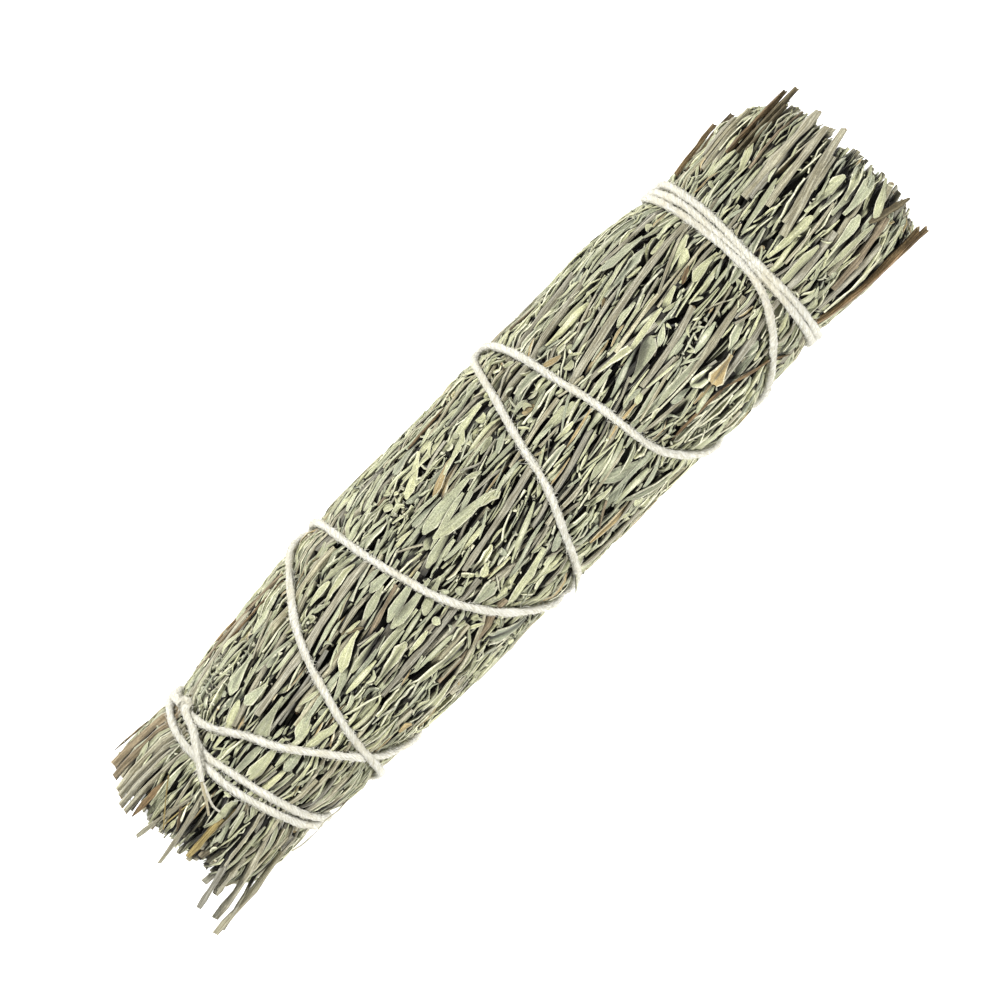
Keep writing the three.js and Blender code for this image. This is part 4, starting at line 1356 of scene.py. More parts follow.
    def _lay_feature(self, feature: Feature, number: int) -> None:
        """Lays one piece between its two places."""
        ends = []
        for x, y in (feature.start, feature.end):
            width = float(self.bundle.half_width(np.array([x * MM]))[0]) * self.widest_feature
            inside = max(-width, min(width, y * MM))
            ends.append((self.bundle.angle_over(inside, x * MM), abs(y * MM) - abs(inside)))
        (first, first_out), (last, last_out) = ends
        rate = self.chart.rate((first + last) / 2)
        along = (feature.end[0] - feature.start[0]) * MM
        across = (last - first) * rate
        form = self.forms[feature.form]
        manner = Manner(
            stretch=math.hypot(along, across) / form.length,
            widen=feature.widen,
            furl=feature.furl,
            roll=feature.roll,
            twist=feature.twist,
            sweep=feature.sweep * MM,
            crinkle=self.feature_crinkle,
            tint=feature.tint,
            phase=number * 2.4,
        )
        bent = bend(form, manner)
        start, end = feature.depths[0] * MM - first_out, feature.depths[1] * MM - last_out
        depths = start + (end - start) * STATIONS
        spot = Spot(first, feature.start[0] * MM, math.atan2(across, along), depths, free=True)
        self._heap_at(first).heap.lay(bent, manner, spot)


class InnerSprig:
    """A sprig inside the bundle, of which only the cut ends show.

    Its endings are a habit, a count, and the ranges of the stretch and of the reach past the end.
    """

    endings: tuple[tuple[Habit, int, tuple[float, float], tuple[float, float]], ...] = (
        (STEMS, 16, (0.25, 0.4), (-3 * MM, 1.5 * MM)),
        (CUPPED, 12, (0.8, 1.2), (-5 * MM, 0.0)),
        (ROLLED, 12, (0.8, 1.2), (-4 * MM, 1 * MM)),
    )

    def __init__(self, index: int, ring: tuple[float, float], foliage: Foliage, alone: bool = False) -> None:
        """Takes a place in the inner ring, or in the centre."""
        self.index = index
        self.ring = ring
        self.alone = alone
        self.forms = foliage.forms
        self.bundle = foliage.bundle
        self.chart = foliage.chart
        # An empty ground at the surface: everything this sprig lays lies deep below it and gets painted shade,
        # fading out at the cut ends.
        self.heap = Heap(foliage.bundle, foliage.chart, foliage.pinch, Ground(0.0))
        self.heap.ground.settle_levels()
        self.draw = np.random.default_rng(900 + 31 * index + int(alone))
        self.name = "heart_sprig" if alone else f"inner_sprig_{index + 1:02d}"

    def build(self, materials: list[bpy.types.Material]) -> bpy.types.Object:
        """Lays the sprig's packed mass, its cut stems and the leaves between them."""
        self._mass()
        for outwards in (-1, 1):
            for habit, count, stretch, reach in self.endings:
                for _ in range(count):
                    self._ending(habit, outwards, stretch, reach)
        return self.heap.piece(self.name, materials)

    def _mass(self) -> None:
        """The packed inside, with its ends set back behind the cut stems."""
        bpy.ops.mesh.primitive_cylinder_add(vertices=10, radius=1, depth=1)
        unit, faces = taken_mesh()
        x = np.where(unit[:, 2] > 0, Foliage.core_ends[1], Foliage.core_ends[0])
        inner, outer = self.ring
        if self.alone:
            angle = np.arctan2(unit[:, 1], unit[:, 0])
            share = np.full(len(x), outer)
        else:
            angle = np.array([self._angle(s * 0.95, a) for s, a in zip(unit[:, 0], x)])
            share = (unit[:, 1] + 1) / 2 * (outer - inner) + inner
        height = self.bundle.half_width(x) * self.bundle.height_share
        self.heap.add_block(angle, x, (1 - share) * height, faces)

    def _angle(self, share: float, x: float) -> float:
        """The angle across the sprig's place."""
        return self.bundle.sprig_angle(self.index, self.bundle.middle_sprigs, share, x)

    def _ending(
        self, habit: Habit, outwards: int, stretch: tuple[float, float], reach: tuple[float, float]
    ) -> None:
        """Lays one stem or leaf that ends at the bundle's end."""
        inner, outer = self.ring
        share = math.sqrt(self.draw.uniform(inner**2, outer**2))
        angle = self._angle(self.draw.uniform(-0.95, 0.95), outwards * 90 * MM)
        if self.alone:
            angle = self.draw.uniform(0, TURN)
        form = self.forms[habit.forms[self.draw.integers(len(habit.forms))]]
        manner = habit.manner(self.draw)
        manner.stretch = self.draw.uniform(*stretch)
        manner.roll = self.draw.uniform(-3, 3)
        bent = bend(form, manner)
        end = self.chart.end(angle, outwards) + outwards * self.draw.uniform(*reach)
        depths = np.full(len(STATIONS), (1 - share) * 19 * MM)
        heading = 0.0 if outwards > 0 else math.pi
        self.heap.lay(bent, manner, Spot(angle, end - outwards * bent.length, heading, depths))


# String


@dataclass(frozen=True)
class Fibre:
    """How one kind of stray fibre leans along the strand and outwards, and its size in millimetres."""

    along: float
    outwards: tuple[float, float]
    length: tuple[float, float]
    thickness: float


HAZE = Fibre(0.9, (0.3, 1.2), (0.35, 0.85), 0.085)
STRAY = Fibre(1.8, (0.0, 0.4), (0.8, 2.2), 0.1)


@dataclass
class CottonString:
    """The plied cotton string with its windings, knot, tail and stray fibres."""

    path: StringPath = field(default_factory=StringPath)
    ply_pitch: float = 6.0 * MM
    step: float = 0.85 * MM
    section_points: int = 12
    fibres: int = 14000
    haze_share: float = 0.62
    strand_radius: float = 0.85 * MM
    fuzz_side: float = 24.8 * MM
    fuzz_top: float = 38.8 * MM
    tail_ends: tuple[Run, ...] = (
        ((0.232, -84.6, 1.9), (0.243, -85.8, 1.7), (0.256, -87.4, 1.4), (0.263, -88.2, 1.2), (0.269, -88.9, 1.0)),
        ((0.234, -84.9, 1.8), (0.246, -85.6, 1.6), (0.2605, -86.8, 1.2), (0.27, -87.0, 0.9), (0.2756, -86.8, 0.7)),
        ((0.231, -84.2, 1.8), (0.226, -84.4, 1.9), (0.222, -84.0, 1.9), (0.224, -83.4, 1.7), (0.229, -83.4, 1.5)),
    )
    knot_loop: Run = (
        (0.122, -77.8, 0.2), (0.11, -77.7, 0.6), (0.101, -77.0, 0.9), (0.102, -75.9, 1.1),
        (0.111, -75.6, 1.1), (0.118, -76.3, 1.0), (0.112, -77.1, 1.6), (0.104, -76.5, 1.8),
        (0.108, -75.7, 1.7), (0.119, -76.2, 1.3),
    )
    tail: Run = (
        (0.12, -76.9, 1.5), (0.129, -77.6, 1.8), (0.166, -79.0, 1.8), (0.1905, -80.7, 2.2),
        (0.22, -83.3, 2.3), (0.236, -85.0, 1.9),
    )

    def build(self, bundle: Bundle, material: bpy.types.Material) -> bpy.types.Object:
        """Models the strands and their fuzz, and joins them."""
        lines = [self.path.points(bundle, self.step), self._loose(bundle, self.knot_loop)]
        lines.append(self._loose(bundle, self.tail))
        lines.extend(self._loose(bundle, end) for end in self.tail_ends)
        widths = ((1.0, 1.0), (0.8, 0.8), (0.95, 0.7), (0.5, 0.3), (0.45, 0.3), (0.4, 0.25))
        soils = (0.0, 0.22, 0.1, 0.6, 0.2, 0.35)
        strands = [self._strand(f"strand_{i}", line, *widths[i], soils[i]) for i, line in enumerate(lines)]
        fuzz = self._fuzz(lines[:3])
        only_selected(strands[0])
        for piece in strands[1:] + [fuzz]:
            piece.select_set(True)
        bpy.ops.object.join()
        string = bpy.context.object
        string.name = "wound_string"
        string.data.materials.clear()
        string.data.materials.append(material)
        return string

    def _loose(self, bundle: Bundle, knots: Run) -> np.ndarray:
        """A short run of string over the surface, smooth through a few points."""
        turns, x, height = np.array(knots).T
        given = bundle.place(turns * TURN, x * MM, -height * MM)
        return even_steps(rounded_line(given), self.step)

    def _strand(self, name: str, line: np.ndarray, first: float, last: float, soiled: float) -> bpy.types.Object:
        """Sweeps the plied section along a line, turning as it goes.

        Args:
            name: The new object's name.
            line: The strand's middle, at even steps.
            first: The share of the full thickness where it starts.
            last: The share where it ends.
            soiled: How brown it is.

        Returns:
            The strand as a mesh.
        """
        section = self._section()
        curve = bpy.data.curves.new(name, "CURVE")
        curve.dimensions = "3D"
        curve.bevel_mode = "OBJECT"
        curve.bevel_object = section
        curve.use_fill_caps = True
        curve.twist_mode = "MINIMUM"
        spline = curve.splines.new("POLY")
        spline.points.add(len(line) - 1)
        spline.points.foreach_set("co", np.hstack([line, np.ones((len(line), 1))]).ravel())
        tilt = np.arange(len(line)) * self.step / self.ply_pitch * TURN
        spline.points.foreach_set("tilt", tilt)
        run = np.arange(len(line)) * self.step / MM
        swell = 1 + 0.07 * np.sin(run * 0.9) + 0.05 * np.sin(run * 2.3 + 1) + 0.05 * np.sin(run * 0.31)
        spline.points.foreach_set("radius", swell * np.linspace(first, last, len(line)))
        only_selected(new_object(name, curve))
        bpy.ops.object.convert(target="MESH")
        strand = bpy.context.object
        self._write_grain(strand, len(line), soiled)
        bpy.data.objects.remove(section)
        return strand

    def _section(self) -> bpy.types.Object:
        """The section of three plies lying together."""
        outline = bpy.data.curves.new("ply_section", "CURVE")
        outline.dimensions = "2D"
        spline = outline.splines.new("POLY")
        spline.points.add(self.section_points - 1)
        spline.use_cyclic_u = True
        for i, point in enumerate(spline.points):
            a = TURN * i / self.section_points
            r = self.strand_radius * (1.0 + 0.035 * math.cos(3 * a))
            point.co = (r * math.cos(a), r * math.sin(a), 0, 1)
        return new_object("ply_section", outline)

    def _write_grain(self, strand: bpy.types.Object, rings: int, soiled: float) -> None:
        """Writes each point's place along and round the strand, where the grooves between the plies lie for their
        painted shade, and how soiled it is.
        """
        mesh = strand.data
        count = len(mesh.vertices)
        ring = np.minimum(np.arange(count) // self.section_points, rings - 1)
        around = (np.arange(count) % self.section_points) / self.section_points
        rows = np.stack([ring * self.step, np.cos(TURN * around), np.sin(TURN * around)], axis=-1)
        write_vectors(mesh, "grain", rows)
        # Where the grooves between the plies lie, for the painted shade that the cotton material puts there.
        groove = 0.5 - 0.5 * np.cos(3 * TURN * around)
        write_vectors(mesh, "tone_and_shade", np.stack([groove, np.full(count, soiled), np.zeros(count)], axis=-1))
        mesh.polygons.foreach_set("use_smooth", np.ones(len(mesh.polygons), dtype=bool))

    def _fuzz(self, lines: list[np.ndarray]) -> bpy.types.Object:
        """Stray fibres that stand off the strands, each a copy of one tapered sliver."""
        bpy.ops.mesh.primitive_cone_add(vertices=3, radius1=0.5, radius2=0.12, depth=1)
        unit, sides = taken_mesh()
        draw = np.random.default_rng(77)
        line = np.concatenate(lines)
        ahead = np.gradient(line, axis=0)
        ahead /= np.maximum(np.linalg.norm(ahead, axis=1, keepdims=True), 1e-9)
        points, polygons = [], []
        for _ in range(self.fibres):
            i = draw.integers(2, len(line) - 2)
            out = np.cross(ahead[i], draw.normal(size=3))
            out /= max(np.linalg.norm(out), 1e-9)
            kind = HAZE if draw.random() < self.haze_share else STRAY
            lean = ahead[i] * draw.normal(0, kind.along) + out * draw.uniform(*kind.outwards)
            lean /= np.linalg.norm(lean)
            side = np.cross(lean, out + ahead[i] * 0.3)
            side /= max(np.linalg.norm(side), 1e-9)
            third = np.cross(lean, side)
            length = draw.uniform(*kind.length) * MM
            thick = kind.thickness * MM
            root = line[i] + out * self.strand_radius * draw.uniform(0.85, 1.05)
            placed = (
                root
                + np.outer(unit[:, 2] + 0.4, lean * length)
                + np.outer(unit[:, 0], side * thick)
                + np.outer(unit[:, 1], third * thick)
            )
            placed[:, 1] = np.clip(placed[:, 1], -self.fuzz_side, self.fuzz_side)
            placed[:, 2] = np.clip(placed[:, 2], 0.02 * MM, self.fuzz_top)
            start = len(points) * len(unit)
            points.append(placed)
            polygons.extend(tuple(v + start for v in face) for face in sides)
        mesh = bpy.data.meshes.new("string_fuzz")
        mesh.from_pydata(np.concatenate(points), [], polygons)
        shades = np.zeros((len(mesh.vertices), 3), dtype=np.float32)
        shades[:, 0] = np.repeat(draw.uniform(0, 1, self.fibres), len(unit))
        for title in ("grain", "tone_and_shade"):
            write_vectors(mesh, title, shades)
        return new_object("string_fuzz", mesh)


def rounded_line(points: np.ndarray) -> np.ndarray:
    """A smooth line through a few points, many points long."""
    n = len(points)
    t = np.linspace(0, n - 1, 40 * n)
    i = np.clip(np.floor(t).astype(int), 0, n - 2)
    u = (t - i)[:, None]
    before = points[np.maximum(i - 1, 0)]
    after = points[np.minimum(i + 2, n - 1)]
    a, b = points[i], points[i + 1]
    first, second = (b - before) / 2, (after - a) / 2
    return curved(u, a, first, b, second)


# Finishes


class Sketch:
    """Short calls for laying nodes in a material or a node group."""

    def __init__(self, tree: bpy.types.NodeTree) -> None:
        """Takes the tree that nodes go in."""
        self.tree = tree

    def node(self, kind: str, **values) -> bpy.types.Node:
        """Adds a node and sets its properties."""
        made = self.tree.nodes.new(kind)
        for key, value in values.items():
            setattr(made, key, value)
        return made

    def link(self, source: bpy.types.NodeSocket, target: bpy.types.NodeSocket) -> None:
        """Joins two sockets."""
        self.tree.links.new(source, target)

    def attribute(self, name: str) -> bpy.types.NodeSocket:
        """Reads a mesh attribute's vector."""
        return self.node("ShaderNodeAttribute", attribute_name=name).outputs["Vector"]

    def parts(self, name: str) -> list[bpy.types.NodeSocket]:
        """Reads a mesh attribute's three numbers."""
        made = self.node("ShaderNodeSeparateXYZ")
        self.link(self.attribute(name), made.inputs[0])
        return list(made.outputs)

    def fill(self, socket: bpy.types.NodeSocket, value) -> None:
        """Gives a socket a number, a plain colour, or what another socket puts out."""
        if isinstance(value, (int, float)):
            socket.default_value = value
        elif isinstance(value, tuple):
            socket.default_value = (*value, 1.0)
        else:
            self.link(value, socket)

    def math(self, operation: str, *values) -> bpy.types.NodeSocket:
        """A math node of sockets or numbers."""
        made = self.node("ShaderNodeMath", operation=operation)
        for socket, value in zip(made.inputs, values):
            self.fill(socket, value)
        return made.outputs[0]

    def product(self, first, *others) -> bpy.types.NodeSocket:
        """Values multiplied together."""
        for value in others:
            first = self.math("MULTIPLY", first, value)
        return first

    def weighted(self, *pairs: tuple) -> bpy.types.NodeSocket:
        """The sum of values that each have a weight."""
        total = self.product(*pairs[0])
        for pair in pairs[1:]:
            total = self.math("ADD", total, self.product(*pair))
        return total

    def span(
        self, value, low: float, high: float, to_low: float = 0.0, to_high: float = 1.0
    ) -> bpy.types.NodeSocket:
        """Maps a range of values onto another, smoothly and clamped."""
        made = self.node("ShaderNodeMapRange", interpolation_type="SMOOTHSTEP", clamp=True)
        self.link(value, made.inputs["Value"])
        made.inputs["From Min"].default_value = low
        made.inputs["From Max"].default_value = high
        made.inputs["To Min"].default_value = to_low
        made.inputs["To Max"].default_value = to_high
        return made.outputs["Result"]

    def mix(self, factor, a, b, blend: str = "MIX") -> bpy.types.NodeSocket:
        """Mixes two colours, given as sockets or plain colours."""
        made = self.node("ShaderNodeMix", data_type="RGBA", blend_type=blend)
        for place, value in ((0, factor), (6, a), (7, b)):
            self.fill(made.inputs[place], value)
        return made.outputs[2]

    def noise(self, vector, scale, detail: float = 3.0, rough: float = 0.55) -> bpy.types.NodeSocket:
        """A noise pattern's value."""
        made = self.node("ShaderNodeTexNoise")
        self.fill(made.inputs["Scale"], scale)
        made.inputs["Detail"].default_value = detail
        made.inputs["Roughness"].default_value = rough
        self.link(vector, made.inputs["Vector"])
        return made.outputs["Fac"]

    def stretched(self, vector, scale: tuple[float, float, float]) -> bpy.types.NodeSocket:
        """A vector stretched along its axes."""
        made = self.node("ShaderNodeMapping")
        made.inputs["Scale"].default_value = scale
        self.link(vector, made.inputs["Vector"])
        return made.outputs["Vector"]

    def bump(self, height, strength: float, distance: float) -> bpy.types.NodeSocket:
        """A bumped normal."""
        made = self.node("ShaderNodeBump")
        made.inputs["Strength"].default_value = strength
        made.inputs["Distance"].default_value = distance
        self.link(height, made.inputs["Height"])
        return made.outputs["Normal"]


def new_material(name: str, inputs: dict) -> tuple[bpy.types.Material, Sketch, bpy.types.Node]:
    """Starts a material.

    Args:
        name: The material's name.
        inputs: Numbers and plain colours for the shader's inputs.

    Returns:
        The material, a sketch for its nodes, and its shader.
    """
    material = bpy.data.materials.new(name)
    material.use_nodes = True
    s = Sketch(material.node_tree)
    shader = material.node_tree.nodes["Principled BSDF"]
    for title, value in inputs.items():
        s.fill(shader.inputs[title], value)
    return material, s, shader


def new_group(name: str, inputs: dict[str, str], outputs: dict[str, str]) -> tuple[bpy.types.NodeTree, Sketch]:
    """Starts a shader node group.

    Args:
        name: The group's name.
        inputs: Each input's name and socket type.
        outputs: Each output's name and socket type.

    Returns:
        The group and a sketch for its nodes.
    """
    group = bpy.data.node_groups.new(name, "ShaderNodeTree")
    for title, kind in inputs.items():
        group.interface.new_socket(name=title, in_out="INPUT", socket_type=kind)
    for title, kind in outputs.items():
        group.interface.new_socket(name=title, in_out="OUTPUT", socket_type=kind)
    return group, Sketch(group)


def fibre_grain_group() -> bpy.types.NodeTree:
    """Fine lines along a stem or leaf, and a soft mottle over it."""
    group, s = new_group(
        "fibre_grain",
        {"Grain": "NodeSocketVector", "Lines": "NodeSocketFloat", "Mottle": "NodeSocketFloat"},
        {"Lines": "NodeSocketFloat", "Mottle": "NodeSocketFloat", "Specks": "NodeSocketFloat"},
    )
    entry = s.node("NodeGroupInput")
    leave = s.node("NodeGroupOutput")
    lines_at = s.stretched(entry.outputs["Grain"], (0.07, 1.0, 0.02))
    mottle_at = s.stretched(entry.outputs["Grain"], (1.0, 1.0, 0.01))
    s.link(s.noise(lines_at, entry.outputs["Lines"], 3.0, 0.5), leave.inputs["Lines"])
    s.link(s.noise(mottle_at, entry.outputs["Mottle"], 4.0, 0.5), leave.inputs["Mottle"])
    s.link(s.noise(mottle_at, 5200.0, 2.0), leave.inputs["Specks"])
    return group


def gap_shade_group() -> bpy.types.NodeTree:
    """Paints shade: darkens and browns what lies deep between the leaves, where shade falls."""
    group, s = new_group(
        "gap_shade",
        {"Color": "NodeSocketColor", "Shade": "NodeSocketFloat"},
        {"Color": "NodeSocketColor"},
    )
    entry = s.node("NodeGroupInput")
    leave = s.node("NodeGroupOutput")
    deep = s.span(entry.outputs["Shade"], 0.19, 0.74)
    # The painted shade's colour, a near-black brown that the base colour is multiplied by.
    dark = s.mix(1.0, entry.outputs["Color"], (0.025, 0.021, 0.012), "MULTIPLY")
    s.link(s.mix(deep, entry.outputs["Color"], dark), leave.inputs["Color"])
    return group


class FinishShelf:
    """The shared node groups, made once."""

    def __init__(self) -> None:
        """Makes the groups."""
        self.fibre_grain = fibre_grain_group()
        self.gap_shade = gap_shade_group()


@dataclass(frozen=True)
class PlantFinish:
    """A dry plant surface: two tones, paler edges that are partly its own rim and partly painted highlight, fine
    lines, and painted shade in the gaps.
    """

    name: str
    cool: Colour
    warm: Colour
    rare: Colour
    # A pale colour for the midrib and the edges; on the edges it is partly the plant's own paler rim and partly
    # painted highlight.
    pale_margin_and_highlight: Colour
    rare_from: float = 0.9
    margin_and_highlight_strength: float = 0.75
    vein_strength: float = 0.0
    lines: float = 2600.0
    line_strength: float = 0.3
    mottle: float = 3300.0
    roughness: float = 0.86
    sheen: float = 0.25
    bump: float = 0.65

    def make(self, shelf: FinishShelf) -> bpy.types.Material:
        """Lays the material's nodes."""
        inputs = {
            "Roughness": self.roughness,
            "Sheen Weight": self.sheen,
            "Sheen Roughness": 0.6,
            "Specular IOR Level": 0.3,
        }
        material, s, shader = new_material(self.name, inputs)
        tint, rim, shade = s.parts("tone_and_shade")
        chance = s.math("FRACT", s.math("MULTIPLY", s.parts("grain")[2], 37.0))
        grain = s.node("ShaderNodeGroup", node_tree=shelf.fibre_grain)
        s.link(s.attribute("grain"), grain.inputs["Grain"])
        grain.inputs["Lines"].default_value = self.lines
        grain.inputs["Mottle"].default_value = self.mottle
        where = s.node("ShaderNodeTexCoord").outputs["Object"]
        drift = s.noise(where, 55.0, 2.0)
        patchy = s.noise(s.stretched(s.attribute("grain"), (1.0, 2.0, 1.0)), 420.0, 2.0)
        warmth = s.weighted((tint, 0.4), (drift, 0.35), (patchy, 0.3), (chance, 0.2))
        base = s.mix(s.span(warmth, 0.2, 0.95), self.cool, self.warm)
        base = s.mix(s.span(tint, self.rare_from - 0.005, self.rare_from + 0.005), base, self.rare)
        vein = s.math("MULTIPLY", s.span(rim, 0.16, 0.0), self.vein_strength)
        base = s.mix(vein, base, self.pale_margin_and_highlight)
        # Paler edges: partly the plant's own paler rim, partly painted highlight along the rims.
        margin_and_highlight_share = s.math("MULTIPLY", s.span(rim, 0.74, 1.0), self.margin_and_highlight_strength)
        base = s.mix(margin_and_highlight_share, base, self.pale_margin_and_highlight)
        lines = s.span(grain.outputs["Lines"], 0.35, 0.62)
        base = s.mix(s.math("MULTIPLY", lines, self.line_strength), base, (0.3, 0.27, 0.2), "MULTIPLY")
        speck = s.product(
            s.span(grain.outputs["Mottle"], 0.32, 0.68, 0.8, 1.14),
            s.span(grain.outputs["Specks"], 0.3, 0.7, 0.78, 1.18),
            s.span(patchy, 0.35, 0.65, 0.93, 1.06),
            s.span(chance, 0.0, 1.0, 0.8, 1.14),
        )
        bright = s.node("ShaderNodeCombineXYZ")
        for k in range(3):
            s.link(speck, bright.inputs[k])
        base = s.mix(1.0, base, bright.outputs[0], "MULTIPLY")
        # Painted shade between the leaves, read from each point's third shading value.
        gap = s.node("ShaderNodeGroup", node_tree=shelf.gap_shade)
        s.link(base, gap.inputs["Color"])
        s.link(shade, gap.inputs["Shade"])
        s.link(gap.outputs["Color"], shader.inputs["Base Color"])
        mottle, specks = grain.outputs["Mottle"], grain.outputs["Specks"]
        height = s.weighted((lines, -0.5), (mottle, 1.0), (specks, 0.5), (patchy, 1.2))
        s.link(s.bump(height, self.bump, 0.25 * MM), shader.inputs["Normal"])
        return material


@dataclass(frozen=True)
class CottonFinish:
    """White plied cotton: painted shade in the grooves between the plies, and short fibre marks."""

    name: str = "cotton"
    white: Colour = (0.7, 0.69, 0.622)
    # A dull tan, used for the painted shade in the grooves between the plies and for the fibre marks.
    groove: Colour = (0.42, 0.39, 0.28)

    def make(self) -> bpy.types.Material:
        """Lays the material's nodes."""
        inputs = {"Roughness": 0.92, "Sheen Weight": 0.35, "Sheen Roughness": 0.5, "Specular IOR Level": 0.2}
        material, s, shader = new_material(self.name, inputs)
        ply_groove_shade, soiled, _ = s.parts("tone_and_shade")
        grain = s.stretched(s.attribute("grain"), (900.0, 3.4, 3.4))
        fibre = s.noise(grain, 1.0, 4.0)
        where = s.node("ShaderNodeTexCoord").outputs["Object"]
        stain = s.noise(where, 130.0, 3.0)
        # Painted shade in the grooves between the plies.
        painted_groove_shade = s.math("MULTIPLY", s.span(ply_groove_shade, 0.45, 1.0), 0.32)
        base = s.mix(painted_groove_shade, self.white, self.groove)
        marks = s.math("MULTIPLY", s.span(fibre, 0.42, 0.62), 0.7)
        base = s.mix(marks, base, self.groove)
        base = s.mix(s.span(stain, 0.5, 0.75, 0.0, 0.5), base, (0.55, 0.5, 0.35))
        base = s.mix(s.span(soiled, 0.0, 0.6), base, (0.4, 0.35, 0.22))
        s.link(base, shader.inputs["Base Color"])
        s.link(s.bump(fibre, 1.0, 0.35 * MM), shader.inputs["Normal"])
        return material


LEAF_FINISH = PlantFinish(
    "sage_leaf",
    cool=(0.345, 0.374, 0.266),
    warm=(0.435, 0.436, 0.243),
    rare=(0.36, 0.27, 0.12),
    pale_margin_and_highlight=(0.72, 0.7, 0.53),
    rare_from=0.965,
    vein_strength=0.3,
)
STEM_FINISH = PlantFinish(
    "sage_stem",
    cool=(0.345, 0.335, 0.275),
    warm=(0.46, 0.43, 0.285),
    rare=(0.31, 0.245, 0.15),
    pale_margin_and_highlight=(0.5, 0.48, 0.37),
    rare_from=0.94,
    margin_and_highlight_strength=0.15,
    lines=2600.0,
    line_strength=0.8,
)
PITH_FINISH = PlantFinish(
    "cut_pith",
    cool=(0.28, 0.2, 0.11),
    warm=(0.44, 0.35, 0.2),
    rare=(0.18, 0.11, 0.06),
    pale_margin_and_highlight=(0.25, 0.16, 0.09),
    rare_from=0.7,
    margin_and_highlight_strength=0.4,
    sheen=0.0,
)
BARK_FINISH = PlantFinish(
    "brown_bark",
    cool=(0.11, 0.085, 0.045),
    warm=(0.27, 0.175, 0.08),
    rare=(0.17, 0.14, 0.075),
    pale_margin_and_highlight=(0.36, 0.28, 0.15),
    rare_from=0.75,
    margin_and_highlight_strength=0.3,
    line_strength=0.9,
    sheen=0.1,
)
STRAW_FINISH = PlantFinish(
    "yellow_straw",
    cool=(0.36, 0.27, 0.1),
    warm=(0.52, 0.42, 0.18),
    rare=(0.42, 0.23, 0.08),
    pale_margin_and_highlight=(0.6, 0.53, 0.3),
    line_strength=0.8,
    sheen=0.0,
)


# Studio


@dataclass(frozen=True)
class PhotoFrame:
    """Where the photographed stick lies in its square picture, as pixels and an angle."""

    side_px: float = 1000.0
    stick_px: tuple[float, float] = (510.74, 488.42)
    lean: float = math.radians(45.16)
    side: float = 200 * MM


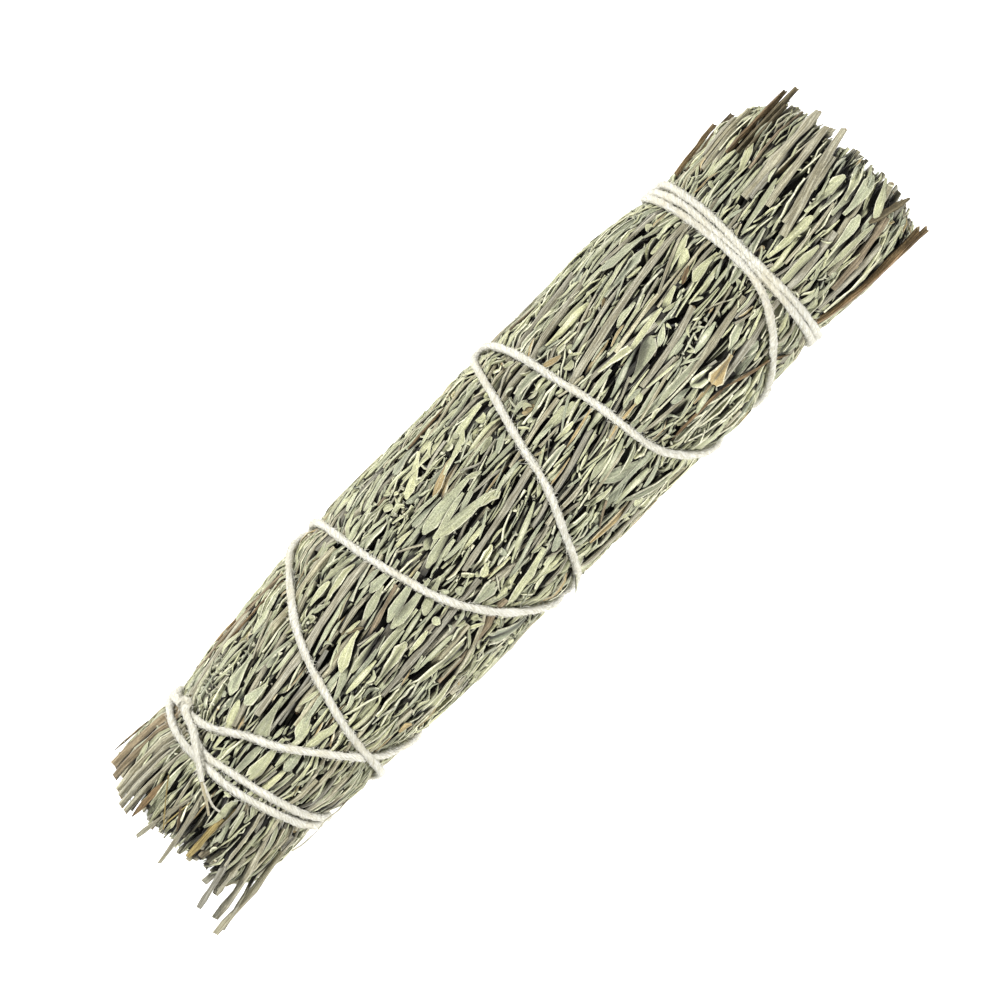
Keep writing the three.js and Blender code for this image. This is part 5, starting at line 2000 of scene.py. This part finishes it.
@dataclass
class Studio:
    """The pale floor, which glows as painted light, the soft lights, and a long lens looking straight down."""

    photo: PhotoFrame = field(default_factory=PhotoFrame)
    lens: float = 420.0
    sensor: float = 36.0
    subject_height: float = 30 * MM
    floor_size: float = 6.0

    def build(self, bundle: Bundle) -> None:
        """Sets up the floor, lights, world and camera."""
        bpy.context.scene.view_settings.view_transform = "Standard"
        self._floor()
        self._world()
        self._light("key", (-0.05, 0.9, 0.8), 0.13, 21.5)
        self._light("fill", (0.1, -0.85, 0.6), 0.13, 13.5)
        self._camera(bundle)

    def _floor(self) -> None:
        """A plain pale floor just under the stick, glowing as painted light that washes out the stick's shadow and
        lights its undersides.
        """
        bpy.ops.mesh.primitive_plane_add(size=self.floor_size, location=(0, 0, -0.02 * MM))
        floor = bpy.context.object
        floor.name = "floor"
        inputs = {
            "Base Color": (0.95, 0.95, 0.945),
            "Roughness": 0.9,
            "Specular IOR Level": 0.1,
            # The floor's glow is painted light: it washes out the stick's shadow and lights the stick from below.
            "Emission Color": (1.0, 1.0, 0.99),
            "Emission Strength": 0.45,
        }
        floor.data.materials.append(new_material("glowing_pale_floor", inputs)[0])

    def _world(self) -> None:
        """An even white surround."""
        world = bpy.data.worlds.new("studio")
        world.use_nodes = True
        background = world.node_tree.nodes["Background"]
        background.inputs["Color"].default_value = (1.0, 1.0, 0.98, 1)
        background.inputs["Strength"].default_value = 0.37
        bpy.context.scene.world = world

    def _light(self, name: str, place: tuple[float, float, float], size: float, power: float) -> None:
        """A square soft light aimed at the stick."""
        lamp = bpy.data.lights.new(name, "AREA")
        lamp.size = size
        lamp.energy = power
        light = new_object(name, lamp)
        light.location = place
        light.rotation_euler = (-Vector(place)).to_track_quat("-Z", "Y").to_euler()

    def _camera(self, bundle: Bundle) -> None:
        """Looks straight down, turned so that the stick leans as in the photograph."""
        photo = self.photo
        scale = photo.side / photo.side_px
        right_px = photo.side_px / 2 - photo.stick_px[0]
        up_px = photo.stick_px[1] - photo.side_px / 2
        turn = -photo.lean
        right = Vector((math.cos(turn), math.sin(turn), 0))
        up = Vector((-math.sin(turn), math.cos(turn), 0))
        aim = right * right_px * scale + up * up_px * scale
        aim -= Vector((bundle.middle[0], bundle.middle[1], 0))
        lens = bpy.data.cameras.new("camera")
        lens.lens = self.lens
        lens.sensor_width = self.sensor
        lens.sensor_fit = "HORIZONTAL"
        camera = new_object("camera", lens)
        away = photo.side * self.lens / self.sensor
        camera.location = (aim.x, aim.y, self.subject_height + away)
        camera.rotation_euler = (0, 0, turn)
        bpy.context.scene.camera = camera


# The whole stick


def carry(piece: bpy.types.Object, node: str) -> None:
    """Puts a piece in a node's place, and reports it."""
    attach(piece, "root")
    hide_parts(node)
    triangles = sum(len(p.vertices) - 2 for p in piece.data.polygons)
    LOG.info("%s replaces %s with %d triangles", piece.name, node, triangles)


def main() -> None:
    """Builds the stick and its studio."""
    logging.basicConfig(level=logging.INFO, format="%(message)s")
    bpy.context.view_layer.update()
    bundle = Bundle()
    Studio().build(bundle)
    shelf = FinishShelf()
    finishes = (LEAF_FINISH, STEM_FINISH, PITH_FINISH, BARK_FINISH, STRAW_FINISH)
    materials = [finish.make(shelf) for finish in finishes]
    forms = {model.name: model.build() for model in FORM_MODELS}
    foliage = Foliage(bundle, Pinch(StringPath()), forms)
    foliage.build()
    for sprig in foliage.sprigs:
        name = f"sage_sprig_{sprig.index + 1:02d}"
        carry(sprig.heap.piece(name, materials), f"outer_sprig_{sprig.index + 1:02d}")
    for i in range(bundle.middle_sprigs):
        inner = InnerSprig(i, (0.3, 0.585), foliage)
        carry(inner.build(materials), f"middle_sprig_{i + 1:02d}")
    heart = InnerSprig(0, (0.0, 0.25), foliage, alone=True)
    carry(heart.build(materials), "centre_sprig")
    string = CottonString().build(bundle, CottonFinish().make())
    carry(string, "cotton_string")


if __name__ == "__main__":
    main()
